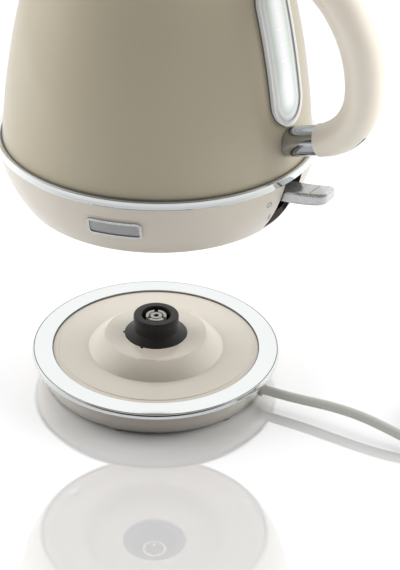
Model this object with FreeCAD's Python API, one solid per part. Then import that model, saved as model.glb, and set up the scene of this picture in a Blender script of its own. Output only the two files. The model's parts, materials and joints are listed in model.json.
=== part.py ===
import FreeCAD, Part
import math
import os

os.makedirs("parts", exist_ok=True)
V = FreeCAD.Vector

# An electric kettle held above its round power base, as it is when it is lifted off to pour.
# Millimetres, +Z up, the table at z = 0, the common axis of kettle and base at x = y = 0,
# and the handle towards +X. Kettle heights are counted from the top of its trim ring.

# Fits
touch_gap = 0.3
slip_gap = 0.05
loose_gap = 0.6
groove_gap = 0.5
overcut = 5.0
small_step = 0.002
length_samples = 90

# Power base
foot_stand = 1.5
foot_radius = 5.0
foot_circle = 62.3
foot_count = 6
foot_first_angle = -75.0
foot_sunk = 0.6
pan_foot_radius = 67.9
pan_edge = 1.2
pan_wall = 2.2
pan_floor = 2.0
pan_bow = 0.7
base_ring_top = 19.5
base_ring_outer = 75.2
base_ring_sheet = 1.2
base_ring_lip = 4.2
base_ring_round = 1.3
base_ring_drop = 3.2
deck_wall = 2.2
deck_drop = 0.8
deck_step_radius = 58.6
deck_step = 0.3
deck_rim_width = 4.3
hub_foot_radius = 41.0
hub_top_radius = 30.6
hub_rise = 8.2
hub_bow = 0.8
hub_notch_width = 1.8
hub_notch_depth = 1.1
hub_notch_angles = (-81.0, -145.0)

# Connector on the hub
tower_flange_radius = 18.7
tower_flange_show = 0.6
tower_base_radius = 26.0
tower_base_wall = 2.4
tower_radius = 13.2
tower_rise = 21.2
tower_cone_rise = 11.0
tower_bead = 0.5
tower_bead_rise = 17.5
tower_round = 1.2
tower_recess_radius = 8.8
tower_recess_depth = 8.0
tower_floor = 2.0
tower_core_radius = 11.0
insert_radius = 6.2
insert_drop = 1.0
insert_bore = 1.7
insert_core_radius = 3.5
insert_rim_inner = 4.5
insert_slot_width = 2.2
insert_slot_depth = 2.4
insert_slots = 3
insert_slot_first_angle = 5.0
sleeve_wall = 0.45
sleeve_drop = 2.0

# Fasteners
screw_radius = 1.5
screw_head_radius = 3.0
screw_head_height = 1.4
screw_slot_width = 0.8
screw_slot_depth = 0.6
boss_radius = 4.4
base_screw_circle = 50.0
base_screw_count = 3
base_screw_first_angle = 65.0
base_screw_length = 10.0
tower_screw_circle = 22.3
tower_screw_count = 3
tower_screw_first_angle = 35.0
tower_screw_bite = 1.6
bottom_screw_inset = 8.4
bottom_screw_count = 3
bottom_screw_first_angle = 60.0
bottom_screw_length = 14.0

# Mains cord, its clamp and its grommet
cord_radius = 2.9
cord_exit_angle = 7.2
cord_exit_z = 9.2
cord_inner_end = 50.0
grommet_wall = 1.1
grommet_lip = 1.0
clamp_place = 56.0
clamp_length = 7.0
clamp_width = 22.0
clamp_roof = 2.2
clamp_screw_offset = 7.2
clamp_screw_bite = 3.0
wire_radius = 1.0
wire_pitch = 2.05
wire_bend = 6.0
wire_end = 5.0

# Route of the free cord from the grommet to the coil, as it lies
cord_route = [
    (98.8, 14.0, 9.2),
    (115.7, 17.8, 8.2),
    (132.7, 20.1, 6.6),
    (149.7, 20.8, 4.8),
]
cord_exit_run = 10.0
coil_entry_run = 17.0
bend_share = 0.45

# Coil of the length that is put away, with its tie
coil_centre = (189.5, 58.5)
coil_outer = 37.5
coil_pitch = 6.4
coil_layer = 6.4
coil_turns = 2.25
coil_first_angle = -90.0
coil_climb_turns = 0.5
coil_parts_per_turn = 4
tie_thickness = 0.7
tie_width = 4.0
tie_angle = 180.0
tie_gap = 0.12
floor_gap = 0.05

# Plug at the cord's far end, lying on the table
tail_length = 24.0
boot_length = 28.0
boot_end_radius = 4.3
boot_radius = 7.6
boot_depth = 12.0
plug_neck_radius = 12.5
plug_neck_length = 13.0
plug_face_radius = 18.3
plug_face_length = 17.0
plug_edge = 1.6
pin_radius = 2.4
pin_length = 19.0
pin_pitch = 19.0
earth_width = 7.0
earth_sheet = 0.8
earth_sunk = 1.4
earth_length = 13.0

# Kettle: lift above the base, trim ring, lower collar
lift = 105.8
collar_top_radius = 89.5
collar_taper = 13.5
collar_height = 37.8
collar_bow = 1.9
collar_wall = 2.4
collar_shelf = 2.2
collar_shelf_width = 7.5
collar_edge = 0.8
trim_overhang = 0.8
trim_width = 2.7
trim_flat = 0.9
trim_height = 4.8
trim_round = 1.8
trim_swell = 0.5
cover_wall = 2.0
cover_foot_width = 8.0
cover_foot_depth = 1.6
cover_recess_radius = 43.5
cover_recess_slope = 5.0
cover_recess_room = 1.7
cover_hole_radius = 21.0

# Body shell
body_foot_gap = 1.0
body_mid_taper = 6.6
body_mid_height = 50.0
mouth_radius = 53.4
body_height = 138.0
body_sheet = 0.8
body_flange = 7.0

# Heater and control
plate_sheet = 1.2
plate_rim = 4.4
seal_width = 1.3
seal_floor = 1.0
spreader_radius = 60.0
spreader_thickness = 3.2
element_ring_radius = 47.0
element_radius = 3.2
element_arc = 300.0
element_tail_radius = 1.6
control_radius = 30.0
control_pocket_depth = 1.6
bimetal_radius = 9.5
bimetal_sheet = 0.5
bimetal_dish = 0.6
socket_room = 1.2
socket_wall = 4.6
socket_flange_radius = 25.0
socket_flange = 2.0
socket_head_room = 1.5
contact_pin_room = 0.45
contact_pin_length = 8.0
contact_ring_room = 0.75
contact_ring_wall = 0.9
contact_ring_length = 4.6
steam_radius = 4.0
steam_bore = 3.1
steam_foot_inset = 14.6
steam_top_radius = 52.5
steam_top_height = 112.0
steam_below = 5.0

# Spout and its filter
spout_foot_height = 91.0
spout_top_height = 136.5
spout_foot_reach = 0.8
spout_reach = 26.0
spout_curve = 1.7
spout_foot_half = 7.0
spout_top_half = 22.5
spout_tip_radius = 7.0
spout_sections = 5
spout_back = 44.0
spout_wall = 1.3
spout_lip_rise = 3.0
spout_hole_margin = 4.5
filter_width = 36.0
filter_foot_height = 87.0
filter_top_height = 133.0
filter_gap = 0.3
filter_sheet = 1.2
filter_columns = 9
filter_rows = 5
filter_border = 3.0
filter_bar = 1.2

# Mouth ring, lid and its hinge
mouth_ring_inner = 50.8
mouth_ring_wall = 2.0
mouth_ring_rise = 4.4
mouth_ring_skirt = 2.8
lid_rim_radius = 53.2
lid_rim_gap = 0.4
lid_rise = 21.0
lid_top_radius = 11.0
lid_bow = 5.4
lid_sheet = 1.2
liner_radius = 48.8
liner_depth = 4.2
liner_sheet = 1.0
lid_seal_width = 1.3
lid_seal_height = 2.4
knob_radius = 13.5
knob_foot_radius = 6.4
knob_collar_radius = 9.5
knob_collar_height = 4.6
knob_screw_bite = 11.0
hinge_reach = 59.4
hinge_rise = 2.4
hinge_knuckle_radius = 3.2
hinge_pin_radius = 1.5
hinge_knuckle_width = 12.0
hinge_side_gap = 0.4
hinge_ear = 2.2
hinge_arm_sheet = 2.4
hinge_arm_root = 44.0
hinge_base_drop = 4.0

# Handle, ferrules and studs
ferrule_radius = 8.15
ferrule_length = 19.6
lower_arm_height = 15.7
lower_arm_rise = 18.0
lower_bend_radius = 33.7
upper_bend_radius = 63.0
upper_arm_rise = 15.0
handle_end_radius = 9.0
handle_grip_half = 10.3
handle_grip_half_width = 11.1
lower_bend_sections = 5
upper_bend_sections = 7
stud_radius = 3.0
stud_bite = 12.0
cap_length = 26.0
cap_width = 8.0
cap_depth = 3.0
cap_angle = 40.0

# Water gauge
gauge_foot_height = 25.1
gauge_top_height = 104.0
gauge_width = 29.0
gauge_frame = 5.0
gauge_frame_step = 3.0
gauge_gasket_sheet = 0.5
gauge_frame_rise = 2.3
gauge_lens_rise = 1.5
gauge_lens_depth = 2.4
gauge_lens_lip = 1.0

# Badge plate
badge_angle = -70.0
badge_height = -19.4
badge_width = 30.0
badge_tall = 11.0
badge_corner = 2.6
badge_sheet = 0.8
badge_frame = 1.5
badge_frame_rise = 1.3

# Switch lever and its bracket
slot_width = 17.4
slot_depth = 30.0
lever_width = 14.8
lever_stick_out = 22.5
lever_root_top = -10.2
lever_tip_top = -5.2
lever_root_thickness = 7.0
lever_tip_thickness = 6.4
lever_dip = 0.9
lever_belly = 1.2
lever_round = 1.7
lever_corner = 4.6
lever_groove_inset = 10.0
lever_groove_width = 0.7
lever_groove_depth = 0.5
lever_pivot_inset = 10.5
lever_pivot_height = -15.6
lever_hub_radius = 4.0
lever_hub_width = 14.0
lever_pin_radius = 1.5
lever_arm_length = 16.0
lever_arm_thickness = 3.0
lever_arm_width = 8.0
bracket_depth = 8.0
bracket_wall = 2.0
bracket_half_width = 11.2
bracket_window_half = 6.0
bracket_window_top = -9.4
bracket_window_foot = -20.0

# Radii that follow the top of the collar
collar_foot_radius = collar_top_radius - collar_taper
collar_shelf_inner = collar_top_radius - collar_shelf_width
trim_outer = collar_top_radius + trim_overhang
trim_inner = trim_outer - trim_width
body_foot_radius = trim_inner - body_foot_gap
body_mid_radius = body_foot_radius - body_mid_taper
steam_foot_radius = body_foot_radius - steam_foot_inset
bottom_screw_circle = collar_foot_radius - bottom_screw_inset
lever_reach = collar_top_radius + lever_stick_out
lever_groove_place = lever_reach - lever_groove_inset
lever_pivot_x = collar_top_radius - lever_pivot_inset
lever_arm_end = lever_pivot_x - lever_arm_length
bracket_back = lever_pivot_x - bracket_depth

# Levels and radii that follow from the sizes above
ledge_z = base_ring_top - base_ring_sheet
base_ring_inner = deck_step_radius + deck_rim_width
deck_z = base_ring_top - deck_drop
hub_z = base_ring_top + hub_rise
pan_top_z = ledge_z - deck_wall
pan_rim_radius = base_ring_outer - base_ring_sheet - loose_gap
pan_floor_z = foot_stand + pan_floor
tower_top_z = base_ring_top + tower_rise
tower_recess_z = tower_top_z - tower_recess_depth
tower_base_z = hub_z - deck_wall
kettle_z = base_ring_top + touch_gap + lift + collar_height
seat_level = base_ring_top - kettle_z + lift
collar_foot = -collar_height
collar_top = -trim_height
shelf_foot = collar_top - collar_shelf
plate_foot = collar_top + body_sheet + seal_floor
spreader_foot = plate_foot - spreader_thickness
control_top = spreader_foot
socket_top = seat_level + tower_rise + socket_head_room
socket_foot = collar_foot + hub_rise + cover_recess_room + cover_wall
recess_height = socket_foot - cover_wall
cover_radius = collar_foot_radius - collar_wall - touch_gap
contact_pin_radius = insert_bore - sleeve_wall - contact_pin_room
contact_ring_radius = tower_recess_radius - sleeve_wall - contact_ring_room
mouth_top = body_height + mouth_ring_rise
lid_foot = mouth_top + lid_rim_gap
lid_top = lid_foot + lid_rise
hinge_height = lid_foot + hinge_rise
cord_rest_z = cord_radius + tie_thickness + tie_gap + floor_gap


# Plain helpers for outlines, turned shapes and patterns
def turned(angle):
    return V(math.cos(math.radians(angle)), math.sin(math.radians(angle)), 0)


def bowed(a, b, sag):
    # middle of an arc from a to b that stands off its chord, to the right of the way it runs
    length = math.hypot(b[0] - a[0], b[1] - a[1])
    side = ((b[1] - a[1]) / length, (a[0] - b[0]) / length)
    return ((a[0] + b[0]) / 2 + sag * side[0], (a[1] + b[1]) / 2 + sag * side[1])


def outline(start, *steps):
    # closed wire in the XZ plane: a step is a point, or (through, end) for an arc
    edges = []
    first = V(start[0], 0, start[1])
    here = first
    for step in steps + (start,):
        arc = isinstance(step[0], tuple)
        end = step[1] if arc else step
        there = V(end[0], 0, end[1])
        if arc:
            edges.append(Part.Arc(here, V(step[0][0], 0, step[0][1]), there).toShape())
        elif (there - here).Length > 0:
            edges.append(Part.LineSegment(here, there).toShape())
        here = there
    return Part.Wire(edges)


def lathe(start, *steps):
    solid = Part.Face(outline(start, *steps)).revolve(V(0, 0, 0), V(0, 0, 1), 360)
    if solid.Volume < 0:
        solid.reverse()
    return solid


def slab(start, steps, width):
    # side view in the XZ plane, as thick as its width along Y
    face = Part.Face(outline(start, *steps))
    face.translate(V(0, -width / 2, 0))
    return face.extrude(V(0, width, 0))


def rod(radius, start, end):
    way = end - start
    return Part.makeCylinder(radius, way.Length, start, way)


def pipe(outer, inner, start, end):
    return rod(outer, start, end).cut(rod(inner, start, end))


def block(low, high):
    size = V(*high) - V(*low)
    return Part.makeBox(size.x, size.y, size.z, V(*low))


def around(shape, count, first_angle):
    copies = []
    for index in range(count):
        copy = shape.copy()
        copy.rotate(V(0, 0, 0), V(0, 0, 1), first_angle + index * 360.0 / count)
        copies.append(copy)
    return copies


def joined(shapes):
    first = shapes[0]
    return first.fuse(shapes[1:]).removeSplitter() if len(shapes) > 1 else first


def screw(length):
    # pan head below, thread pointing up from z = 0, with a driver slot in the head
    head = rod(screw_head_radius, V(0, 0, -screw_head_height), V(0, 0, 0))
    slot = block(
        (-screw_head_radius, -screw_slot_width / 2, -screw_head_height - overcut),
        (screw_head_radius, screw_slot_width / 2, -screw_head_height + screw_slot_depth),
    )
    return head.cut(slot).fuse(rod(screw_radius, V(0, 0, 0), V(0, 0, length)))


def oblong(width, tall, corner, far):
    # rounded rectangle about the origin in the YZ plane, pushed along X
    y = width / 2
    z = tall / 2
    c = min(corner, y, z)
    k = c * (1 - math.sqrt(0.5))
    spots = [(y, -z + c), (y, z - c), (y - c, z), (-y + c, z),
             (-y, z - c), (-y, -z + c), (-y + c, -z), (y - c, -z)]
    middles = [None, (y - k, z - k), None, (-y + k, z - k),
               None, (-y + k, -z + k), None, (y - k, -z + k)]
    edges = []
    for index, spot in enumerate(spots):
        after = spots[(index + 1) % len(spots)]
        here = V(0, *spot)
        there = V(0, *after)
        if middles[index]:
            edges.append(Part.Arc(here, V(0, *middles[index]), there).toShape())
        elif (there - here).Length > small_step:
            edges.append(Part.LineSegment(here, there).toShape())
    return Part.Face(Part.Wire(edges)).extrude(V(far, 0, 0))


class Bow:
    # a circular profile through three points of a turned surface
    def __init__(self, low, middle, high):
        self.low = low
        self.high = high
        spots = [V(spot[0], spot[1], 0) for spot in (low, middle, high)]
        circle = Part.Arc(*spots).toShape().Curve
        self.centre = (circle.Center.x, circle.Center.y)
        self.radius = circle.Radius

    def at(self, height, off=0.0):
        rise = height - self.centre[1]
        return self.centre[0] + math.sqrt((self.radius + off) ** 2 - rise ** 2)

    def point(self, height, off=0.0):
        return (self.at(height, off), height)

    def solid(self, foot, top, off=0.0):
        middle = self.point((foot + top) / 2, off)
        return lathe((0, foot), self.point(foot, off), (middle, self.point(top, off)), (0, top))

    def skin(self, foot, top, inner, outer):
        return self.solid(foot, top, outer).cut(self.solid(foot - overcut, top + overcut, inner))


body_bow = Bow((body_foot_radius, 0), (body_mid_radius, body_mid_height), (mouth_radius, body_height))
collar_low = (collar_foot_radius, collar_foot + collar_edge)
collar_high = (collar_top_radius, collar_top)
collar_bulge = Bow(collar_low, bowed(collar_low, collar_high, collar_bow), collar_high)


# Power base
def base_pan():
    edge = pan_edge * (1 - math.sqrt(0.5))
    foot = (pan_foot_radius, foot_stand + pan_edge)
    rim = (pan_rim_radius, pan_top_z)
    inner_rim = (pan_rim_radius - pan_wall, pan_top_z)
    inner_foot = (pan_foot_radius - pan_wall, pan_floor_z)
    pan = lathe(
        (0, foot_stand),
        (pan_foot_radius - pan_edge, foot_stand),
        ((pan_foot_radius - edge, foot_stand + edge), foot),
        (bowed(foot, rim, pan_bow), rim),
        inner_rim,
        (bowed(inner_rim, inner_foot, -pan_bow), inner_foot),
        (0, pan_floor_z),
    )
    pocket = rod(foot_radius, V(foot_circle, 0, 0), V(foot_circle, 0, foot_stand + foot_sunk))
    pan = pan.cut(around(pocket, foot_count, foot_first_angle) + [centre_foot()])
    hole = rod(screw_radius, V(base_screw_circle, 0, 0), V(base_screw_circle, 0, pan_floor_z))
    sink = rod(
        screw_head_radius + touch_gap,
        V(base_screw_circle, 0, 0),
        V(base_screw_circle, 0, foot_stand + screw_head_height),
    )
    pan = pan.cut(around(hole.fuse(sink), base_screw_count, base_screw_first_angle))
    out = turned(cord_exit_angle)
    gland = rod(
        cord_radius + grommet_wall,
        out * clamp_place + V(0, 0, cord_exit_z),
        out * (pan_rim_radius + overcut) + V(0, 0, cord_exit_z),
    )
    return joined([pan.cut(gland), clamp_seat()])


def clamp_seat():
    # block on the pan floor with the lower half of the cord's saddle
    seat = block(
        (clamp_place - clamp_length / 2, -clamp_width / 2, pan_floor_z),
        (clamp_place + clamp_length / 2, clamp_width / 2, cord_exit_z),
    )
    for side in (-1, 1):
        place = V(clamp_place, side * clamp_screw_offset, cord_exit_z)
        seat = seat.cut(rod(screw_radius, place, place - V(0, 0, clamp_screw_bite)))
    saddle = V(0, 0, cord_exit_z)
    seat = seat.cut(rod(cord_radius + slip_gap, saddle, saddle + V(pan_rim_radius, 0, 0)))
    seat.rotate(V(0, 0, 0), V(0, 0, 1), cord_exit_angle)
    return seat


def cord_clamp():
    high = cord_exit_z + cord_radius + clamp_roof
    bar = block(
        (clamp_place - clamp_length / 2, -clamp_width / 2, cord_exit_z),
        (clamp_place + clamp_length / 2, clamp_width / 2, high),
    )
    saddle = V(0, 0, cord_exit_z)
    bar = bar.cut(rod(cord_radius + slip_gap, saddle, saddle + V(pan_rim_radius, 0, 0)))
    for side in (-1, 1):
        place = V(clamp_place, side * clamp_screw_offset, 0)
        bar = bar.cut(rod(screw_radius, place, place + V(0, 0, high)))
    bar.rotate(V(0, 0, 0), V(0, 0, 1), cord_exit_angle)
    return bar


def clamp_screws():
    high = cord_exit_z + cord_radius + clamp_roof
    copies = []
    for side in (-1, 1):
        copy = screw(cord_radius + clamp_roof + clamp_screw_bite)
        copy.rotate(V(0, 0, 0), V(1, 0, 0), 180)
        copy.translate(V(clamp_place, side * clamp_screw_offset, high))
        copy.rotate(V(0, 0, 0), V(0, 0, 1), cord_exit_angle)
        copies.append(copy)
    return Part.makeCompound(copies)


def cord_grommet():
    out = turned(cord_exit_angle)
    high = V(0, 0, cord_exit_z)
    skirt = pan_skirt_radius(cord_exit_z)
    inner = clamp_place + clamp_length / 2
    bush = rod(cord_radius + grommet_wall, out * inner + high, out * (skirt + grommet_lip) + high)
    return bush.cut(rod(cord_radius + slip_gap, out * inner + high, out * (skirt + overcut) + high))


def pan_skirt_radius(height):
    foot = (pan_foot_radius, foot_stand + pan_edge)
    rim = (pan_rim_radius, pan_top_z)
    return Bow(foot, bowed(foot, rim, pan_bow), rim).at(height)


def base_deck():
    wall = deck_wall
    hub_high = (hub_top_radius, hub_z)
    hub_low = (hub_foot_radius, deck_z)
    in_low = (hub_foot_radius - wall, deck_z - deck_step - wall)
    in_high = (hub_top_radius - wall, hub_z - wall)
    hole = tower_flange_radius + touch_gap
    edge = base_ring_inner - touch_gap
    deck = lathe(
        (hole, hub_z),
        hub_high,
        (bowed(hub_high, hub_low, -hub_bow), hub_low),
        (deck_step_radius, deck_z),
        (deck_step_radius + deck_step, deck_z - deck_step),
        (edge, deck_z - deck_step),
        (edge, ledge_z),
        (pan_rim_radius, ledge_z),
        (pan_rim_radius, pan_top_z),
        (deck_step_radius, pan_top_z),
        (deck_step_radius - wall, deck_z - deck_step - wall),
        in_low,
        (bowed(in_low, in_high, hub_bow), in_high),
        (hole, hub_z - wall),
    )
    boss = rod(
        boss_radius,
        V(base_screw_circle, 0, pan_floor_z),
        V(base_screw_circle, 0, deck_z - deck_wall / 2),
    )
    bore = rod(
        screw_radius,
        V(base_screw_circle, 0, pan_floor_z),
        V(base_screw_circle, 0, pan_floor_z + base_screw_length),
    )
    deck = joined([deck] + around(boss, base_screw_count, base_screw_first_angle))
    deck = deck.cut(around(bore, base_screw_count, base_screw_first_angle))
    pilot = rod(
        screw_radius,
        V(tower_screw_circle, 0, tower_base_z - overcut),
        V(tower_screw_circle, 0, tower_base_z + tower_screw_bite),
    )
    deck = deck.cut(around(pilot, tower_screw_count, tower_screw_first_angle))
    notch = block(
        (hole - overcut, -hub_notch_width / 2, hub_z - wall),
        (hole + hub_notch_depth, hub_notch_width / 2, hub_z),
    )
    return deck.cut([around(notch, 1, angle)[0] for angle in hub_notch_angles])


def base_ring():
    flat = base_ring_outer - base_ring_round
    knee = 1 - math.sqrt(0.5)
    return lathe(
        (base_ring_inner, base_ring_top),
        (flat, base_ring_top),
        (
            (base_ring_outer - base_ring_round * knee, base_ring_top - base_ring_drop * knee),
            (base_ring_outer, base_ring_top - base_ring_drop),
        ),
        (base_ring_outer, base_ring_top - base_ring_lip),
        (base_ring_outer - base_ring_sheet, base_ring_top - base_ring_lip),
        (base_ring_outer - base_ring_sheet, ledge_z),
        (base_ring_inner, ledge_z),
    )


def centre_foot():
    return rod(foot_radius, V(0, 0, 0), V(0, 0, foot_stand + foot_sunk))


def base_feet():
    foot = rod(foot_radius, V(foot_circle, 0, 0), V(foot_circle, 0, foot_stand + foot_sunk))
    return Part.makeCompound(around(foot, foot_count, foot_first_angle) + [centre_foot()])


def base_screws():
    fastener = screw(base_screw_length)
    fastener.translate(V(base_screw_circle, 0, foot_stand + screw_head_height))
    return Part.makeCompound(around(fastener, base_screw_count, base_screw_first_angle))


# Connector
def connector_tower():
    flange_z = hub_z + tower_flange_show - touch_gap
    cone_z = base_ring_top + tower_cone_rise
    bead_z = base_ring_top + tower_bead_rise
    knee = tower_round * (1 - math.sqrt(0.5))
    bead_radius = tower_radius + tower_bead
    floor_z = tower_recess_z - tower_floor
    tower = lathe(
        (0, floor_z),
        (tower_core_radius, floor_z),
        (tower_core_radius, tower_base_z - tower_base_wall),
        (tower_base_radius, tower_base_z - tower_base_wall),
        (tower_base_radius, tower_base_z),
        (tower_flange_radius, tower_base_z),
        (tower_flange_radius, flange_z),
        (tower_radius + tower_bead, cone_z),
        (tower_radius, cone_z + tower_bead),
        (tower_radius, bead_z - tower_bead),
        (bead_radius, bead_z),
        (bead_radius, tower_top_z - tower_round),
        ((bead_radius - knee, tower_top_z - knee), (bead_radius - tower_round, tower_top_z)),
        (tower_recess_radius + tower_bead, tower_top_z),
        (tower_recess_radius, tower_top_z - tower_bead),
        (tower_recess_radius, tower_recess_z),
        (0, tower_recess_z),
    )
    hole = rod(
        screw_radius,
        V(tower_screw_circle, 0, tower_base_z - overcut),
        V(tower_screw_circle, 0, tower_base_z),
    )
    return tower.cut(around(hole, tower_screw_count, tower_screw_first_angle))


def connector_insert():
    top = tower_top_z - insert_drop
    low = top - insert_slot_depth
    insert = pipe(insert_radius, insert_bore, V(0, 0, tower_recess_z), V(0, 0, top))
    groove = pipe(insert_rim_inner, insert_core_radius, V(0, 0, low), V(0, 0, top))
    slot = block(
        (insert_core_radius, -insert_slot_width / 2, low),
        (insert_radius + overcut, insert_slot_width / 2, top),
    )
    return insert.cut([groove] + around(slot, insert_slots, insert_slot_first_angle))


def connector_sleeves():
    top = tower_top_z - sleeve_drop
    outer = pipe(
        tower_recess_radius,
        tower_recess_radius - sleeve_wall,
        V(0, 0, tower_recess_z),
        V(0, 0, top),
    )
    inner = pipe(insert_bore, insert_bore - sleeve_wall, V(0, 0, tower_recess_z), V(0, 0, top))
    return Part.makeCompound([outer, inner])


def connector_screws():
    fastener = screw(tower_base_wall + tower_screw_bite)
    fastener.translate(V(tower_screw_circle, 0, tower_base_z - tower_base_wall))
    return Part.makeCompound(around(fastener, tower_screw_count, tower_screw_first_angle))


# Cord, from the clamp in the base to the plug
def rounded_path(points):
    # straight runs with an arc at each inner point, as large as the shorter run allows
    edges = []
    radii = []
    here = points[0]
    for before, corner, after in zip(points, points[1:], points[2:]):
        arrive = corner - before
        leave = after - corner
        half = arrive.getAngle(leave) / 2
        cut = bend_share * min(arrive.Length, leave.Length)
        radius = cut / math.tan(half)
        radii.append(radius)
        start = corner - arrive.normalize() * cut
        end = corner + leave.normalize() * cut
        inward = (start + end) * 0.5 - corner
        middle = corner + inward.normalize() * (radius / math.cos(half) - radius)
        edges.append(Part.LineSegment(here, start).toShape())
        edges.append(Part.Arc(start, middle, end).toShape())
        here = end
    edges.append(Part.LineSegment(here, points[-1]).toShape())
    return Part.Wire(edges), radii


def swept(path, radius):
    first = path.OrderedEdges[0]
    start = first.valueAt(first.FirstParameter)
    way = first.tangentAt(first.FirstParameter)
    ring = Part.Wire(Part.makeCircle(radius, start, way))
    tube = path.makePipeShell([ring], True, False)
    if tube.Volume < 0:
        tube.reverse()
    return tube


def coil_point(turn):
    # spirals in on the lower layer, climbs where it turns back, and out on the upper layer
    middle = coil_turns / 2
    radius = coil_outer - coil_pitch * (middle - abs(turn - middle))
    climb = (turn - middle) / coil_climb_turns + 0.5
    climb = min(max(climb, 0.0), 1.0)
    height = cord_rest_z + coil_layer * climb * climb * (3 - 2 * climb)
    spot = turned(coil_first_angle + 360.0 * turn) * radius
    return spot + V(coil_centre[0], coil_centre[1], height)


def coil_way(turn):
    return (coil_point(turn + small_step) - coil_point(turn - small_step)).normalize()


def biarc(start, start_way, end, end_way):
    # two arcs that leave and arrive along the given ways and meet smoothly
    chord = end - start
    both = start_way + end_way
    bend = 1 - start_way.dot(end_way)
    along = chord.dot(both)
    reach = (math.sqrt(along * along + 2 * bend * chord.dot(chord)) - along) / (2 * bend)
    first_knee = start + start_way * reach
    second_knee = end - end_way * reach
    meet = (first_knee + second_knee) * 0.5
    arcs = []
    for low, knee, high in ((start, first_knee, meet), (meet, second_knee, end)):
        inward = (low + high) * 0.5 - knee
        half_chord = (high - low).Length / 2
        rise = reach * (reach - half_chord) / inward.Length
        arcs.append(Part.Arc(low, knee + inward.normalize() * rise, high).toShape())
    return arcs


def coil_ends():
    last = coil_turns
    first_way = coil_way(0)
    last_way = coil_way(last)
    entry = coil_point(0) - first_way * cord_radius * 2
    leave = coil_point(last) + last_way * cord_radius * 2
    return entry, first_way, leave, last_way


def cord_coil():
    entry, first_way, leave, last_way = coil_ends()
    count = round(coil_turns * coil_parts_per_turn)
    turns = [coil_turns * index / count for index in range(count + 1)]
    edges = [Part.LineSegment(entry, coil_point(0)).toShape()]
    for low, high in zip(turns, turns[1:]):
        edges += biarc(coil_point(low), coil_way(low), coil_point(high), coil_way(high))
    edges.append(Part.LineSegment(coil_point(coil_turns), leave).toShape())
    wire = Part.Wire(edges)
    tube = swept(wire, cord_radius)
    print("coil least gap to itself %.2f mm" % coil_gap())
    print("coil volume against section times length %.4f" % volume_ratio(tube, wire, cord_radius))
    return tube


def coil_spots():
    count = int(coil_turns * length_samples) + 1
    return [coil_point(index / length_samples) for index in range(count)]


def coil_gap():
    # nearest distance between points of the centreline that are over a third of a turn apart
    apart = length_samples // 3
    spots = coil_spots()
    least = min(
        (spots[j] - spots[i]).Length
        for i in range(len(spots))
        for j in range(i + apart, len(spots))
    )
    return least - 2 * cord_radius


def volume_ratio(tube, wire, radius):
    return tube.Volume / (math.pi * radius ** 2 * wire.Length)


def boot_frame():
    # where the cord enters the boot, and the way the plug points: it lies tilted on its face rim
    entry, first_way, leave, last_way = coil_ends()
    flat = V(last_way.x, last_way.y, 0).normalize()
    along = boot_length + plug_neck_length + plug_face_length - plug_edge
    tilt = 0.0
    tail_rise = 0.0
    for attempt in range(30):
        tail_rise = tail_length * math.sin(tilt) / 2
        low = plug_face_radius * math.cos(tilt) + floor_gap - leave.z - tail_rise
        tilt = math.asin(low / along)
    way = flat * math.cos(tilt) + V(0, 0, math.sin(tilt))
    knee = leave + last_way * (tail_length / 2)
    return knee + way * (tail_length / 2), way, knee


def mains_cord():
    out = turned(cord_exit_angle)
    high = V(0, 0, cord_exit_z)
    entry, first_way, leave, last_way = coil_ends()
    skirt = pan_skirt_radius(cord_exit_z)
    start = out * cord_inner_end + high
    points = [start, out * (skirt + grommet_lip + cord_exit_run) + high]
    points += [V(*spot) for spot in cord_route]
    points += [entry - first_way * coil_entry_run, entry]
    wire, radii = rounded_path(points)
    lead = swept(wire, cord_radius)
    boot, way, knee = boot_frame()
    tail_wire, tail_radii = rounded_path([leave, knee, boot])
    tail = swept(tail_wire, cord_radius)
    print("cord bend radii", [round(radius) for radius in radii + tail_radii])
    print("lead volume ratio %.4f" % volume_ratio(lead, wire, cord_radius))
    print("tail volume ratio %.4f" % volume_ratio(tail, tail_wire, cord_radius))
    print("cord length %.0f mm" % (wire.Length + tail_wire.Length + coil_length()))
    return Part.makeCompound([lead, tail])


def coil_length():
    spots = coil_spots()
    ends = 4 * cord_radius
    return ends + sum((b - a).Length for a, b in zip(spots, spots[1:]))


def coil_tie():
    # flat band round the stacked turns
    spots = [coil_point(turn) for turn in tie_turns()]
    centre = V(coil_centre[0], coil_centre[1], 0)
    reaches = [(V(spot.x, spot.y, 0) - centre).Length for spot in spots]
    levels = [spot.z for spot in spots]
    room = cord_radius + tie_gap
    low = (min(reaches) - room, min(levels) - room)
    high = (max(reaches) + room, max(levels) + room)
    band = tie_loop(low, high, tie_thickness).cut(tie_loop(low, high, 0))
    band.rotate(V(0, 0, 0), V(0, 0, 1), tie_angle)
    band.translate(centre)
    return band


def tie_turns():
    first = ((tie_angle - coil_first_angle) % 360.0) / 360.0
    return [first + whole for whole in range(int(coil_turns) + 1) if first + whole <= coil_turns]


def tie_loop(low, high, grow):
    corner = cord_radius + grow
    loop = oblong(high[0] - low[0] + 2 * grow, high[1] - low[1] + 2 * grow, corner, tie_width)
    loop.rotate(V(0, 0, 0), V(0, 0, 1), -90)
    loop.translate(V((low[0] + high[0]) / 2, tie_width / 2, (low[1] + high[1]) / 2))
    return loop


def along_plug(shape):
    # from the plug's own axis, +Z out of its face, to where it lies
    boot, way, knee = boot_frame()
    side = V(0, 0, 1).cross(way).normalize()
    up = way.cross(side)
    matrix = FreeCAD.Matrix(
        side.x, up.x, way.x, boot.x,
        side.y, up.y, way.y, boot.y,
        side.z, up.z, way.z, boot.z,
        0, 0, 0, 1,
    )
    return shape.transformed(matrix)


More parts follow.
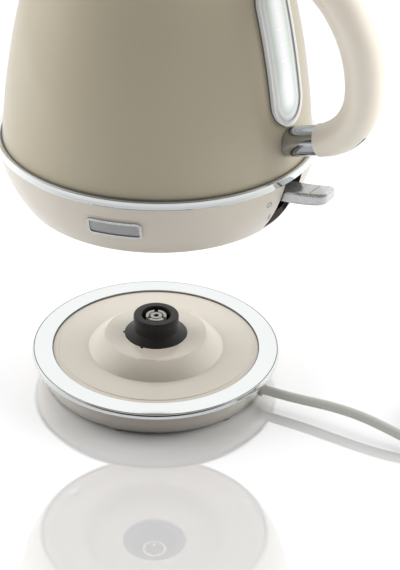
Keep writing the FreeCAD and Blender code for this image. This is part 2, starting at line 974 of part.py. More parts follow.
def plug_body():
    neck = boot_length
    shoulder = neck + plug_neck_length
    face = shoulder + plug_face_length
    edge = plug_edge * (1 - math.sqrt(0.5))
    body = lathe(
        (0, 0),
        (boot_end_radius, 0),
        (boot_radius, neck),
        (plug_neck_radius - plug_edge, neck),
        ((plug_neck_radius - edge, neck + edge), (plug_neck_radius, neck + plug_edge)),
        (
            bowed((plug_neck_radius, neck + plug_edge), (plug_face_radius, shoulder), -plug_edge),
            (plug_face_radius, shoulder),
        ),
        (plug_face_radius, face - plug_edge),
        ((plug_face_radius - edge, face - edge), (plug_face_radius - plug_edge, face)),
        (0, face),
    )
    for side in (-1, 1):
        place = V(side * pin_pitch / 2, 0, face)
        body = body.cut(rod(pin_radius, place, place - V(0, 0, boot_depth)))
        low = plug_face_radius - earth_sunk
        recess = block((-earth_width / 2, low, face - earth_length), (earth_width / 2, low + overcut, face))
        if side < 0:
            recess.rotate(V(0, 0, 0), V(0, 0, 1), 180)
        body = body.cut(recess)
    return along_plug(body)


def plug_pins():
    face = boot_length + plug_neck_length + plug_face_length
    pins = []
    for side in (-1, 1):
        place = V(side * pin_pitch / 2, 0, face)
        shank = rod(pin_radius, place - V(0, 0, boot_depth), place + V(0, 0, pin_length - pin_radius))
        tip = Part.makeSphere(pin_radius, place + V(0, 0, pin_length - pin_radius))
        pins.append(along_plug(joined([shank, tip])))
    return Part.makeCompound(pins)


def plug_earth_strips():
    face = boot_length + plug_neck_length + plug_face_length
    strips = []
    for side in (0, 180):
        low = plug_face_radius - earth_sunk
        strip = block(
            (-earth_width / 2, low, face - earth_length),
            (earth_width / 2, low + earth_sheet, face),
        )
        strip.rotate(V(0, 0, 0), V(0, 0, 1), side)
        strips.append(along_plug(strip))
    return Part.makeCompound(strips)


def lead_wires():
    # three cores from the cord's end, along the pan and up into the connector
    wires = []
    foot_z = cord_exit_z
    top_z = tower_recess_z - tower_floor
    for index in (-1, 0, 1):
        offset = V(0, index * wire_pitch, 0)
        start = V(cord_inner_end, 0, foot_z) + offset
        knee = V(wire_end, 0, foot_z) + offset
        end = V(wire_end, 0, top_z) + offset
        turn = knee + V(wire_bend, 0, wire_bend) * (1 - math.sqrt(0.5))
        path = Part.Wire([
            Part.LineSegment(start, knee + V(wire_bend, 0, 0)).toShape(),
            Part.Arc(knee + V(wire_bend, 0, 0), turn, knee + V(0, 0, wire_bend)).toShape(),
            Part.LineSegment(knee + V(0, 0, wire_bend), end).toShape(),
        ])
        wire = swept(path, wire_radius)
        wire.rotate(V(0, 0, 0), V(0, 0, 1), cord_exit_angle)
        wires.append(wire)
    return Part.makeCompound(wires)


# Kettle body
def body_shell():
    outer = body_bow.solid(0, body_height).fuse(
        rod(body_foot_radius, V(0, 0, collar_top), V(0, 0, 0))
    )
    inner = body_bow.solid(0, body_height, -body_sheet).fuse(
        rod(body_bow.at(0, -body_sheet), V(0, 0, collar_top + body_sheet), V(0, 0, 0))
    )
    throat = rod(body_foot_radius - body_flange, V(0, 0, collar_top - overcut), V(0, 0, 0))
    lip_radius = body_bow.at(body_height, -body_sheet)
    lip = rod(lip_radius, V(0, 0, body_height - body_sheet), V(0, 0, mouth_top))
    shell = outer.cut([inner, throat, lip])
    high = body_height - spout_hole_margin
    water = spout_form(spout_wall).common(
        block((-2 * body_foot_radius, -body_foot_radius, 0), (0, body_foot_radius, high))
    )
    return shell.cut([water, gauge_form(gauge_frame + gauge_lens_lip)])


def spout_section(height, reach, half, back, tip):
    # beak seen from above, a rounded tip between two straight flanks
    root = V(-back, half, height)
    centre = V(-reach + tip, 0, height)
    span = root - centre
    turn = math.acos(tip / math.hypot(span.x, span.y))
    lean = math.atan2(span.y, span.x)
    angle = lean + turn
    spot = centre + V(math.cos(angle), math.sin(angle), 0) * tip
    nose = V(-reach, 0, height)
    mirrored_spot = V(spot.x, -spot.y, height)
    mirrored_root = V(root.x, -root.y, height)
    return Part.Wire([
        Part.LineSegment(root, spot).toShape(),
        Part.Arc(spot, nose, mirrored_spot).toShape(),
        Part.LineSegment(mirrored_spot, mirrored_root).toShape(),
        Part.LineSegment(mirrored_root, root).toShape(),
    ])


def spout_form(inset):
    # grows out of the body wall in a hollow curve
    wires = []
    foot = spout_foot_height + 2 * inset
    top = spout_top_height + spout_lip_rise
    for index in range(spout_sections):
        share = index / (spout_sections - 1)
        height = foot + (top - foot) * share
        proud = spout_foot_reach + (spout_reach - spout_foot_reach) * share ** spout_curve
        half = spout_foot_half + (spout_top_half - spout_foot_half) * share
        reach = body_bow.at(height) + proud - inset
        tip = spout_tip_radius - inset
        wires.append(spout_section(height, reach, half - inset, spout_back, tip))
    return Part.makeLoft(wires, True, False)


def spout():
    beak = spout_form(0).cut(spout_form(spout_wall))
    top = spout_top_height + spout_lip_rise
    # the rim slopes up to the tip
    tip = body_bow.at(top) + spout_reach
    above = slab(
        (-spout_back, spout_top_height),
        [(-tip, top), (-tip, top + overcut), (-spout_back, top + overcut)],
        4 * spout_top_half,
    )
    open_top = spout_form(spout_wall)
    open_top.translate(V(0, 0, spout_wall))
    ring_radius = mouth_ring_outer() + touch_gap
    ring = rod(ring_radius, V(0, 0, body_height - 2 * overcut), V(0, 0, 2 * body_height))
    return beak.cut([above, open_top, ring, body_bow.solid(0, body_height)])


def spout_filter():
    mesh = body_bow.skin(
        filter_foot_height,
        filter_top_height,
        -body_sheet - filter_gap - filter_sheet,
        -body_sheet - filter_gap,
    ).common(block(
        (-body_foot_radius, -filter_width / 2, filter_foot_height),
        (0, filter_width / 2, filter_top_height),
    ))
    column = (filter_width - 2 * filter_border + filter_bar) / filter_columns
    row = (filter_top_height - filter_foot_height - 2 * filter_border + filter_bar) / filter_rows
    holes = []
    for across in range(filter_columns):
        y = -filter_width / 2 + filter_border + across * column
        for up in range(filter_rows):
            z = filter_foot_height + filter_border + up * row
            holes.append(block(
                (-body_foot_radius, y, z),
                (0, y + column - filter_bar, z + row - filter_bar),
            ))
    return mesh.cut(holes)


def trim_ring():
    top_edge = trim_inner + trim_flat
    shoulder = (trim_outer, -trim_round)
    return lathe(
        (trim_inner, 0),
        (top_edge, 0),
        (bowed((top_edge, 0), shoulder, -trim_swell), shoulder),
        (trim_outer, -trim_height),
        (trim_inner, -trim_height),
    )


def lower_collar():
    wall = -collar_wall
    inner_top = collar_bulge.point(shelf_foot, wall)
    inner_mid = collar_bulge.point((shelf_foot + collar_foot) / 2, wall)
    inner_foot = (collar_foot_radius - collar_wall, collar_foot + collar_edge)
    collar = lathe(
        (collar_shelf_inner, collar_top),
        collar_high,
        (bowed(collar_high, collar_low, -collar_bow), collar_low),
        (collar_foot_radius - collar_edge, collar_foot),
        (collar_foot_radius - collar_wall, collar_foot),
        inner_foot,
        (inner_mid, inner_top),
        (collar_shelf_inner, shelf_foot),
    )
    boss_foot = collar_foot + cover_foot_depth + cover_wall
    boss_top = boss_foot + bottom_screw_length + screw_radius
    boss = rod(boss_radius, V(bottom_screw_circle, 0, boss_foot), V(bottom_screw_circle, 0, boss_top))
    rib = block(
        (bottom_screw_circle, -collar_wall / 2, boss_foot),
        (collar_top_radius, collar_wall / 2, boss_top),
    )
    reach = collar_bulge.solid(collar_foot + collar_edge, collar_top, wall / 2)
    post = joined([boss, rib.common(reach)])
    bore = rod(
        screw_radius,
        V(bottom_screw_circle, 0, collar_foot),
        V(bottom_screw_circle, 0, boss_foot + bottom_screw_length),
    )
    posts = around(post.cut(bore), bottom_screw_count, bottom_screw_first_angle)
    slot = block(
        (lever_pivot_x, -slot_width / 2, collar_top - slot_depth),
        (2 * collar_top_radius, slot_width / 2, collar_top + overcut),
    )
    return joined([collar.cut(slot)] + posts)


def bottom_cover():
    foot_top = collar_foot + cover_foot_depth
    recess_foot = cover_recess_radius + cover_recess_slope
    foot_inner = cover_radius - cover_foot_width
    cover = lathe(
        (cover_hole_radius, recess_height),
        (cover_recess_radius, recess_height),
        (recess_foot, foot_top),
        (foot_inner, foot_top),
        (foot_inner + cover_foot_depth, collar_foot),
        (cover_radius - collar_edge, collar_foot),
        (cover_radius, collar_foot + collar_edge),
        (cover_radius, foot_top + cover_wall),
        (recess_foot + cover_wall, foot_top + cover_wall),
        (cover_recess_radius + cover_wall, recess_height + cover_wall),
        (cover_hole_radius, recess_height + cover_wall),
    )
    hole = rod(
        screw_radius,
        V(bottom_screw_circle, 0, collar_foot - overcut),
        V(bottom_screw_circle, 0, foot_top + cover_wall),
    )
    sink = rod(
        screw_head_radius + touch_gap,
        V(bottom_screw_circle, 0, collar_foot - overcut),
        V(bottom_screw_circle, 0, collar_foot + screw_head_height + touch_gap),
    )
    return cover.cut(around(hole.fuse(sink), bottom_screw_count, bottom_screw_first_angle))


def bottom_screws():
    fastener = screw(bottom_screw_length)
    fastener.translate(V(bottom_screw_circle, 0, collar_foot + screw_head_height + touch_gap))
    return Part.makeCompound(around(fastener, bottom_screw_count, bottom_screw_first_angle))


# Heater and control
def plate_radius():
    return body_bow.at(0, -body_sheet) - touch_gap - seal_width


def heating_plate():
    outer = plate_radius()
    top = plate_foot + plate_sheet
    plate = lathe(
        (0, plate_foot),
        (outer, plate_foot),
        (outer, plate_foot + plate_rim),
        (outer - plate_sheet, plate_foot + plate_rim),
        (outer - plate_sheet, top),
        (0, top),
    )
    return plate.cut(steam_rod(steam_radius))


def plate_seal():
    outer = plate_radius()
    foot = collar_top + body_sheet
    inner = body_foot_radius - body_flange
    return lathe(
        (inner, foot),
        (outer + seal_width, foot),
        (outer + seal_width, plate_foot + plate_rim),
        (outer, plate_foot + plate_rim),
        (outer, plate_foot),
        (inner, plate_foot),
    )


def heat_spreader():
    return rod(spreader_radius, V(0, 0, spreader_foot), V(0, 0, plate_foot))


def heating_element():
    level = spreader_foot - element_radius
    start = V(element_ring_radius, 0, level)
    ring = Part.Face(Part.Wire(Part.makeCircle(element_radius, start, V(0, 1, 0))))
    loop = ring.revolve(V(0, 0, 0), V(0, 0, 1), element_arc)
    if loop.Volume < 0:
        loop.reverse()
    tails = []
    for angle in (0, element_arc):
        inward = turned(angle)
        tails.append(rod(
            element_tail_radius,
            inward * element_ring_radius + V(0, 0, level),
            inward * control_radius + V(0, 0, level),
        ))
    element = joined([loop] + tails)
    element.rotate(V(0, 0, 0), V(0, 0, 1), (360 - element_arc) / 2 + 180)
    return element


def control_housing():
    housing = lathe(
        (0, socket_top),
        (control_radius, socket_top),
        (control_radius, control_top),
        (bimetal_radius + loose_gap, control_top),
        (bimetal_radius + loose_gap, control_top - control_pocket_depth),
        (0, control_top - control_pocket_depth),
    )
    arm_top = lever_pivot_height - lever_arm_thickness / 2 - touch_gap
    arm_end = lever_arm_end + lever_arm_width / 2
    arm = block(
        (control_radius - overcut, -lever_arm_width / 2, arm_top - 2 * bracket_wall),
        (arm_end, lever_arm_width / 2, arm_top),
    )
    web = block(
        (control_radius - overcut, -lever_arm_width / 2, arm_top - 2 * bracket_wall),
        (control_radius - touch_gap, lever_arm_width / 2, socket_top + bracket_wall),
    )
    return joined([housing, arm, web])


def kettle_socket():
    bore = tower_radius + tower_bead + socket_room
    outer = bore + socket_wall
    return lathe(
        (bore, socket_foot),
        (socket_flange_radius, socket_foot),
        (socket_flange_radius, socket_foot + socket_flange),
        (outer, socket_foot + socket_flange),
        (outer, socket_top),
        (bore, socket_top),
    )


def socket_contacts():
    pin = rod(contact_pin_radius, V(0, 0, socket_top - contact_pin_length), V(0, 0, socket_top))
    ring = pipe(
        contact_ring_radius,
        contact_ring_radius - contact_ring_wall,
        V(0, 0, socket_top - contact_ring_length),
        V(0, 0, socket_top),
    )
    return Part.makeCompound([pin, ring])


def bimetal_disc():
    foot = control_top - control_pocket_depth
    return lathe(
        (0, foot + bimetal_dish),
        (bimetal_radius, foot),
        (bimetal_radius, foot + bimetal_sheet),
        (0, foot + bimetal_dish + bimetal_sheet),
    )


def steam_rod(radius):
    # leans along the inside of the body wall, on the +Y side
    foot = V(0, steam_foot_radius, plate_foot)
    top = V(0, steam_top_radius, steam_top_height)
    way = (top - foot).normalize()
    return rod(radius, foot - way * steam_below, top)


def steam_tube():
    return steam_rod(steam_radius).cut(steam_rod(steam_bore))


# Mouth ring, lid, hinge
def mouth_ring_outer():
    return body_bow.at(body_height - mouth_ring_skirt) + touch_gap + mouth_ring_wall / 2


def mouth_ring():
    outer = mouth_ring_outer()
    skirt = body_height - mouth_ring_skirt
    shoulder = (outer, mouth_top - mouth_ring_wall)
    crown = (outer - mouth_ring_wall, mouth_top)
    return lathe(
        (mouth_ring_inner, body_height),
        (mouth_ring_inner, mouth_top - loose_gap),
        (mouth_ring_inner + loose_gap, mouth_top),
        crown,
        (bowed(crown, shoulder, -loose_gap), shoulder),
        (outer, skirt),
        (body_bow.at(skirt) + touch_gap, skirt),
        (mouth_radius + touch_gap, body_height),
    )


def lid_curve(drop):
    foot = (lid_rim_radius - drop, lid_foot)
    top = (lid_top_radius, lid_top - drop)
    return foot, bowed(foot, top, lid_bow), top


def lid_dome():
    foot, bow, top = lid_curve(0)
    inner_foot, inner_bow, inner_top = lid_curve(lid_sheet)
    return lathe(
        inner_foot,
        foot,
        (bow, top),
        (screw_radius, lid_top),
        (screw_radius, lid_top - lid_sheet),
        inner_top,
        (inner_bow, inner_foot),
    )


def lid_liner():
    deep = lid_foot - liner_depth
    flange = lid_rim_radius - lid_sheet - slip_gap
    return lathe(
        (0, deep),
        (liner_radius, deep),
        (liner_radius, lid_foot),
        (flange, lid_foot),
        (flange - liner_sheet, lid_foot + liner_sheet),
        (liner_radius - liner_sheet, lid_foot + liner_sheet),
        (liner_radius - liner_sheet, deep + liner_sheet),
        (0, deep + liner_sheet),
    )


def lid_seal():
    foot = lid_foot - liner_depth + loose_gap
    lip = (liner_radius + lid_seal_width, foot + lid_seal_height / 2)
    return lathe(
        (liner_radius, foot),
        (liner_radius + lid_seal_width / 2, foot),
        lip,
        (liner_radius + lid_seal_width / 2, foot + lid_seal_height),
        (liner_radius, foot + lid_seal_height),
    )


def knob_collar():
    top = lid_top + knob_collar_height
    foot = (knob_collar_radius, lid_top)
    neck = (knob_foot_radius, top)
    return lathe(
        (screw_radius, lid_top),
        foot,
        (bowed(foot, neck, -loose_gap), neck),
        (screw_radius, top),
    )


def lid_knob():
    foot = lid_top + knob_collar_height
    middle = foot + math.sqrt(knob_radius ** 2 - knob_foot_radius ** 2)
    knob = lathe(
        (0, foot),
        (knob_foot_radius, foot),
        ((knob_radius, middle), (0, middle + knob_radius)),
    )
    return knob.cut(rod(screw_radius, V(0, 0, foot), V(0, 0, foot + knob_screw_bite)))


def knob_screw():
    fastener = screw(lid_sheet + knob_collar_height + knob_screw_bite)
    fastener.translate(V(0, 0, lid_top - lid_sheet))
    return fastener


def hinge_arm():
    # strap from the lid rim to the knuckle on the pin
    low = hinge_height - hinge_arm_sheet / 2
    strap = block(
        (hinge_arm_root, -hinge_knuckle_width / 2, low),
        (hinge_reach, hinge_knuckle_width / 2, low + hinge_arm_sheet),
    )
    foot, bow, top = lid_curve(0)
    below = lid_foot - overcut
    under = lathe((0, below), (lid_rim_radius, below), foot, (bow, top), (0, lid_top))
    half = V(0, hinge_knuckle_width / 2, 0)
    axis = V(hinge_reach, 0, hinge_height)
    knuckle = rod(hinge_knuckle_radius, axis - half, axis + half)
    arm = joined([strap.cut(under), knuckle])
    return arm.cut(rod(hinge_pin_radius + slip_gap, axis - half, axis + half))


def hinge_bracket():
    inner_half = hinge_knuckle_width / 2 + hinge_side_gap
    outer_half = inner_half + hinge_ear
    axis = V(hinge_reach, 0, hinge_height)
    base_top = hinge_height - hinge_knuckle_radius - loose_gap
    base_foot = base_top - hinge_base_drop
    back = hinge_reach + hinge_knuckle_radius
    base = block((0, -outer_half, base_foot), (back, outer_half, base_top))
    parts = [base]
    for side in (-1, 1):
        near = V(0, side * inner_half, 0)
        far = V(0, side * outer_half, 0)
        disc = rod(hinge_knuckle_radius, axis + near, axis + far)
        low_y = min(near.y, far.y)
        cheek = block(
            (hinge_reach - hinge_knuckle_radius, low_y, base_foot),
            (back, low_y + hinge_ear, hinge_height),
        )
        parts += [disc, cheek]
    bracket = joined(parts)
    ring = rod(mouth_ring_outer(), V(0, 0, base_foot - overcut), V(0, 0, mouth_top + overcut))
    rim_room = rod(lid_rim_radius + loose_gap, V(0, 0, mouth_top), V(0, 0, mouth_top + lid_rise))
    half = V(0, outer_half, 0)
    pin = rod(hinge_pin_radius, axis - half, axis + half)
    wall = body_bow.solid(0, body_height, touch_gap)
    return bracket.cut([ring, rim_room, pin, wall])


def hinge_pin():
    half = V(0, hinge_knuckle_width / 2 + hinge_side_gap + hinge_ear, 0)
    axis = V(hinge_reach, 0, hinge_height)
    return rod(hinge_pin_radius, axis - half, axis + half)


# Handle
def slanted(angle):
    # direction in the XZ plane, counted from +X towards +Z
    return V(math.cos(math.radians(angle)), 0, math.sin(math.radians(angle)))


def lower_end():
    root = V(body_bow.at(lower_arm_height), 0, lower_arm_height)
    return root + slanted(lower_arm_rise) * ferrule_length


def lower_bend(angle):
    # centreline of the bend where it runs at the given angle
    centre = lower_end() - slanted(lower_arm_rise - 90) * lower_bend_radius
    return centre + slanted(angle - 90) * lower_bend_radius


def upper_bend(angle):
    centre = lower_bend(90) - V(upper_bend_radius, 0, 0)
    return centre + slanted(angle - 90) * upper_bend_radius


def arms():
    # for each end of the handle: where the handle begins, and the way from the body to it
    upper_way = 180 - upper_arm_rise
    return [
        (lower_end(), slanted(lower_arm_rise)),
        (upper_bend(upper_way), slanted(upper_way) * -1),
    ]


def handle_stations():
    # points and directions down the middle of the handle, from its lower to its upper end
    stations = []
    for index in range(lower_bend_sections):
        angle = lower_arm_rise + (90 - lower_arm_rise) * index / lower_bend_sections
        stations.append((lower_bend(angle), slanted(angle)))
    for index in range(upper_bend_sections + 1):
        angle = 90 + (90 - upper_arm_rise) * index / upper_bend_sections
        stations.append((upper_bend(angle), slanted(angle)))
    return stations


def handle_form():
    stations = handle_stations()
    runs = [(b[0] - a[0]).Length for a, b in zip(stations, stations[1:])]
    rings = []
    for index, (spot, way) in enumerate(stations):
        share = math.sin(math.pi * sum(runs[:index]) / sum(runs))
        thick = handle_end_radius + (handle_grip_half - handle_end_radius) * share
        wide = handle_end_radius + (handle_grip_half_width - handle_end_radius) * share + slip_gap
        across = V(0, 1, 0)
        out = across.cross(way)
        ring = Part.Ellipse(spot + across * wide, spot + out * thick, spot)
        rings.append(Part.Wire(ring.toShape()))
    form = Part.makeLoft(rings, True, False)
    if form.Volume < 0:
        form.reverse()
    return form


def cap_prism(grow):
    # oblong on the outer side of the lower bend
    corner = cap_width / 2 + grow
    prism = oblong(cap_width + 2 * grow, cap_length + 2 * grow, corner, 4 * cap_depth)
    prism.translate(V(handle_end_radius + loose_gap - cap_depth, 0, 0))
    prism.rotate(V(0, 0, 0), V(0, 1, 0), 90 - cap_angle)
    prism.translate(lower_bend(cap_angle))
    return prism


def handle():
    bores = [rod(stud_radius, end, end + way * stud_bite) for end, way in arms()]
    return handle_form().cut(bores + [cap_prism(groove_gap)])


def handle_cap():
    return handle_form().common(cap_prism(0))


def from_wall(end, way):
    # far enough inside the body for the wall to trim it
    return end - way * (2 * ferrule_length)


def handle_ferrules():
    wall = body_bow.solid(0, body_height)
    tubes = [pipe(ferrule_radius, stud_radius, from_wall(end, way), end) for end, way in arms()]
    return Part.makeCompound([tube.cut(wall) for tube in tubes])


def handle_studs():
    wall = body_bow.solid(0, body_height)
    studs = [rod(stud_radius, from_wall(end, way), end + way * stud_bite) for end, way in arms()]
    return Part.makeCompound([stud.cut(wall) for stud in studs])


# Water gauge, shaped to the body wall
def gauge_form(inset):
    tall = gauge_top_height - gauge_foot_height
    wide = gauge_width - 2 * inset
    form = oblong(wide, tall - 2 * inset, wide / 2, 2 * body_foot_radius)
    form.translate(V(0, 0, (gauge_top_height + gauge_foot_height) / 2))
    return form


def gauge_skin(inner, outer):
    return body_bow.skin(0, body_height, inner, outer)


def gauge_gasket():
    skin = gauge_skin(0, gauge_gasket_sheet)
    return skin.common(gauge_form(0)).cut(gauge_form(gauge_frame))


def gauge_bezel():
    skin = gauge_skin(gauge_gasket_sheet, gauge_frame_rise)
    outer = skin.common(gauge_form(groove_gap)).cut(gauge_form(gauge_frame))
    step = gauge_skin(gauge_lens_rise, gauge_frame_rise + overcut)
    return outer.cut(step.common(gauge_form(gauge_frame_step)))


def gauge_window():
    lip = gauge_skin(0, gauge_lens_rise).common(gauge_form(gauge_frame))
    core = gauge_skin(-gauge_lens_depth, 0).common(gauge_form(gauge_frame + gauge_lens_lip))
    return joined([lip, core])


# Badge plate on the collar, left bare
def badge_form(inset, foot, top):
    skin = collar_bulge.skin(collar_foot + overcut, collar_top, foot, top)
    wide = badge_width - 2 * inset
    tall = badge_tall - 2 * inset
    form = oblong(wide, tall, badge_corner - inset, 2 * collar_top_radius)
    form.translate(V(0, 0, badge_height))
    form.rotate(V(0, 0, 0), V(0, 0, 1), badge_angle)
    return skin.common(form)


def badge_plate():
    return badge_form(badge_frame, 0, badge_sheet)


def badge_rim():
    opening = badge_form(badge_frame, -badge_sheet, badge_frame_rise + overcut)
    return badge_form(0, 0, badge_frame_rise).cut(opening)


# Switch
def lever_pivot():
    return V(lever_pivot_x, 0, lever_pivot_height)


def switch_lever():
    root_x = lever_pivot_x + lever_hub_radius / 2
    root_low = (root_x, lever_root_top - lever_root_thickness)
    root_top = (root_x, lever_root_top)
    tip_low = (lever_reach, lever_tip_top - lever_tip_thickness)
    tip_top = (lever_reach, lever_tip_top)
    sag = bowed(tip_top, root_top, -lever_dip)
    belly = bowed(root_low, tip_low, lever_belly)
    paddle = slab(root_low, [(belly, tip_low), tip_top, (sag, root_top)], lever_width)
    tip_edges = [edge for edge in paddle.Edges if lies_at(edge, lever_reach, lever_width / 2)]
    paddle = paddle.makeFillet(lever_corner, tip_edges)
    long_edges = [edge for edge in paddle.Edges if edge.CenterOfMass.x > root_x + small_step]
    paddle = paddle.makeFillet(lever_round, [edge for edge in long_edges if not upright(edge)])
    groove = block(
        (lever_groove_place, -lever_width, lever_groove_foot()),
        (lever_groove_place + lever_groove_width, lever_width, lever_groove_foot() + overcut),
    )
    half = V(0, lever_hub_width / 2, 0)
    pivot = lever_pivot()
    hub = rod(lever_hub_radius, pivot - half, pivot + half)
    web = block(
        (lever_pivot_x, -lever_hub_width / 2, lever_pivot_height),
        (lever_pivot_x + lever_hub_radius, lever_hub_width / 2, lever_root_top - lever_round),
    )
    arm = block(
        (lever_arm_end, -lever_arm_width / 2, lever_pivot_height - lever_arm_thickness / 2),
        (lever_pivot_x, lever_arm_width / 2, lever_pivot_height + lever_arm_thickness / 2),
    )
    lever = joined([paddle.cut(groove), hub, web, arm])
    return lever.cut(rod(lever_pin_radius + slip_gap, pivot - half, pivot + half))


def lies_at(edge, x, y):
    centre = edge.CenterOfMass
    return abs(centre.x - x) < small_step and abs(abs(centre.y) - y) < small_step


def upright(edge):
    way = edge.tangentAt(edge.FirstParameter)
    return abs(way.z) > abs(way.x) + abs(way.y)


def lever_groove_foot():
    # the groove goes into the dipped top of the paddle
    root_x = lever_pivot_x + lever_hub_radius / 2
    share = (lever_groove_place - root_x) / (lever_reach - root_x)
    chord = lever_root_top + (lever_tip_top - lever_root_top) * share
    return chord - 4 * lever_dip * share * (1 - share) - lever_groove_depth


def switch_bracket():
    # open box behind the slot, with the pivot pin through its sides and a window for the lever's arm
    top = shelf_foot - loose_gap
    foot = collar_foot + cover_foot_depth + cover_wall
    outer = block(
        (bracket_back, -bracket_half_width, foot),
        (collar_top_radius, bracket_half_width, top),
    )
    inner = block(
        (bracket_back + bracket_wall, -bracket_half_width + bracket_wall, foot + bracket_wall),
        (2 * collar_top_radius, bracket_half_width - bracket_wall, top + overcut),
    )
    window = block(
        (bracket_back - overcut, -bracket_window_half, bracket_window_foot),
        (bracket_back + overcut, bracket_window_half, bracket_window_top),
    )
    room = collar_bulge.solid(collar_foot + collar_edge, collar_top, -collar_wall - touch_gap)
    half = V(0, bracket_half_width, 0)
    pin = rod(lever_pin_radius, lever_pivot() - half, lever_pivot() + half)
    return outer.common(room).cut([inner, window, pin])


def switch_pin():
    half = V(0, bracket_half_width, 0)
    return rod(lever_pin_radius, lever_pivot() - half, lever_pivot() + half)


base_nodes = [
    base_pan, base_deck, base_ring, base_feet, base_screws,
    connector_tower, connector_insert, connector_sleeves, connector_screws,
    cord_grommet, cord_clamp, clamp_screws, lead_wires,
    mains_cord, cord_coil, coil_tie, plug_body, plug_pins, plug_earth_strips,
]
kettle_nodes = [
    body_shell, spout, spout_filter, trim_ring, lower_collar, bottom_cover, bottom_screws,
    heating_plate, plate_seal, heat_spreader, heating_element, control_housing,
    kettle_socket, socket_contacts, bimetal_disc, steam_tube,
    mouth_ring, lid_dome, lid_liner, lid_seal, knob_collar, lid_knob, knob_screw,
    hinge_arm, hinge_bracket, hinge_pin,
    handle, handle_cap, handle_ferrules, handle_studs,
    gauge_gasket, gauge_bezel, gauge_window, badge_plate, badge_rim,
    switch_lever, switch_bracket, switch_pin,
]


def write(maker, rise):
    shape = maker()
    shape.translate(V(0, 0, rise))
    shape.exportStep("parts/%s.step" % maker.__name__)
    box = shape.BoundBox
    print(
        "%-18s valid %s solids %d volume %9.1f  x %.1f..%.1f y %.1f..%.1f z %.1f..%.1f" % (
            maker.__name__, shape.isValid(), len(shape.Solids), shape.Volume,
            box.XMin, box.XMax, box.YMin, box.YMax, box.ZMin, box.ZMax,
        )
    )


for node in base_nodes:
    write(node, 0)
for node in kettle_nodes:
    write(node, kettle_z)
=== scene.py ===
import bpy
import bmesh
import json
import math
from mathutils import Matrix, Vector


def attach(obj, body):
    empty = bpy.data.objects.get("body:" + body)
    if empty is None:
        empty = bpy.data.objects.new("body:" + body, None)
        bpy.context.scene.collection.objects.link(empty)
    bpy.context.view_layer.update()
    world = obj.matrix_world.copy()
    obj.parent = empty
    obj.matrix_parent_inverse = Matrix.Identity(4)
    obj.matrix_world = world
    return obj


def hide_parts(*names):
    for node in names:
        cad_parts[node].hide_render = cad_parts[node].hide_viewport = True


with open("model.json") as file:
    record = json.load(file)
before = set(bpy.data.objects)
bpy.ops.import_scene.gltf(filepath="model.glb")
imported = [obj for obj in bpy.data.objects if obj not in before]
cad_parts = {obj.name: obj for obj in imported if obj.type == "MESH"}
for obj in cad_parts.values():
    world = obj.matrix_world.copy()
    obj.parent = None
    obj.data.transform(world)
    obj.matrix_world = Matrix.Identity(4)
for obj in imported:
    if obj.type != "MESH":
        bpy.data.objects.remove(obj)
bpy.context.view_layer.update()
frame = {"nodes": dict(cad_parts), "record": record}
nodes = frame["nodes"]
print("frame loaded:", len(nodes), "nodes")


# Camera, set to the photograph's view: handle to the right, looking down on the base
cameraLook = {
    "place": (0.4403, -0.6289, 0.5194), "down": 30.82, "turn": 33.06, "roll": 1.45,
    "lens": 94.74, "sensor": 36.0,
}

cameraData = bpy.data.cameras.new("kettleCamera")
cameraData.lens = cameraLook["lens"]
cameraData.sensor_width = cameraLook["sensor"]
camera = bpy.data.objects.new("kettleCamera", cameraData)
bpy.context.scene.collection.objects.link(camera)
camera.matrix_world = (
    Matrix.Translation(cameraLook["place"])
    @ Matrix.Rotation(math.radians(cameraLook["turn"]), 4, "Z")
    @ Matrix.Rotation(math.radians(90 - cameraLook["down"]), 4, "X")
    @ Matrix.Rotation(math.radians(cameraLook["roll"]), 4, "Z")
)
bpy.context.scene.camera = camera
bpy.context.scene.view_settings.view_transform = "Standard"
print("camera set")


# Walls of the kettle, in millimetres: each is an arc in (radius, height) about a centre
perMetre = 1000.0
kettleLevel = 163.4  # top of the trim ring, where the heights of the arcs start
collarBow = {"centre": (9.660, 9.743), "radius": 81.153}
bodyBow = {"centre": (-351.401, -32.381), "radius": 439.196}

# Directions: the handle is on the east side
eastWay = (1.0, 0.0, 0.0)
northWay = (0.0, 1.0, 0.0)
upWay = (0.0, 0.0, 1.0)


def shade(colour, amount):
    return tuple(min(1.0, channel * amount) for channel in colour)


# Shader building: sockets that can be added, scaled and so on, and one way to add a node
class Wire:
    def __init__(self, finish, socket):
        self.finish = finish
        self.socket = socket

    def work(self, operation, first, second):
        return self.finish.add("ShaderNodeMath", {"operation": operation}, {0: first, 1: second})

    def __add__(self, other):
        return self.work("ADD", self, other)

    def __radd__(self, other):
        return self.work("ADD", other, self)

    def __sub__(self, other):
        return self.work("SUBTRACT", self, other)

    def __rsub__(self, other):
        return self.work("SUBTRACT", other, self)

    def __mul__(self, other):
        return self.work("MULTIPLY", self, other)

    def __rmul__(self, other):
        return self.work("MULTIPLY", other, self)

    def __truediv__(self, other):
        return self.work("DIVIDE", self, other)

    def __rtruediv__(self, other):
        return self.work("DIVIDE", other, self)

    def __pow__(self, other):
        return self.work("POWER", self, other)

    def __rpow__(self, other):
        return self.work("POWER", other, self)

    def atLeast(self, other):
        return self.work("MAXIMUM", self, other)

    def within(self, low, high):
        return self.work("MINIMUM", self.atLeast(low), high)

    def rising(self, low, high):
        # 0 below low, 1 above high, straight between
        return ((self - low) / (high - low)).within(0.0, 1.0)

    def swing(self, amount):
        # a cloud of 0 to 1 turned into a change about zero
        return (self - 0.5) * amount


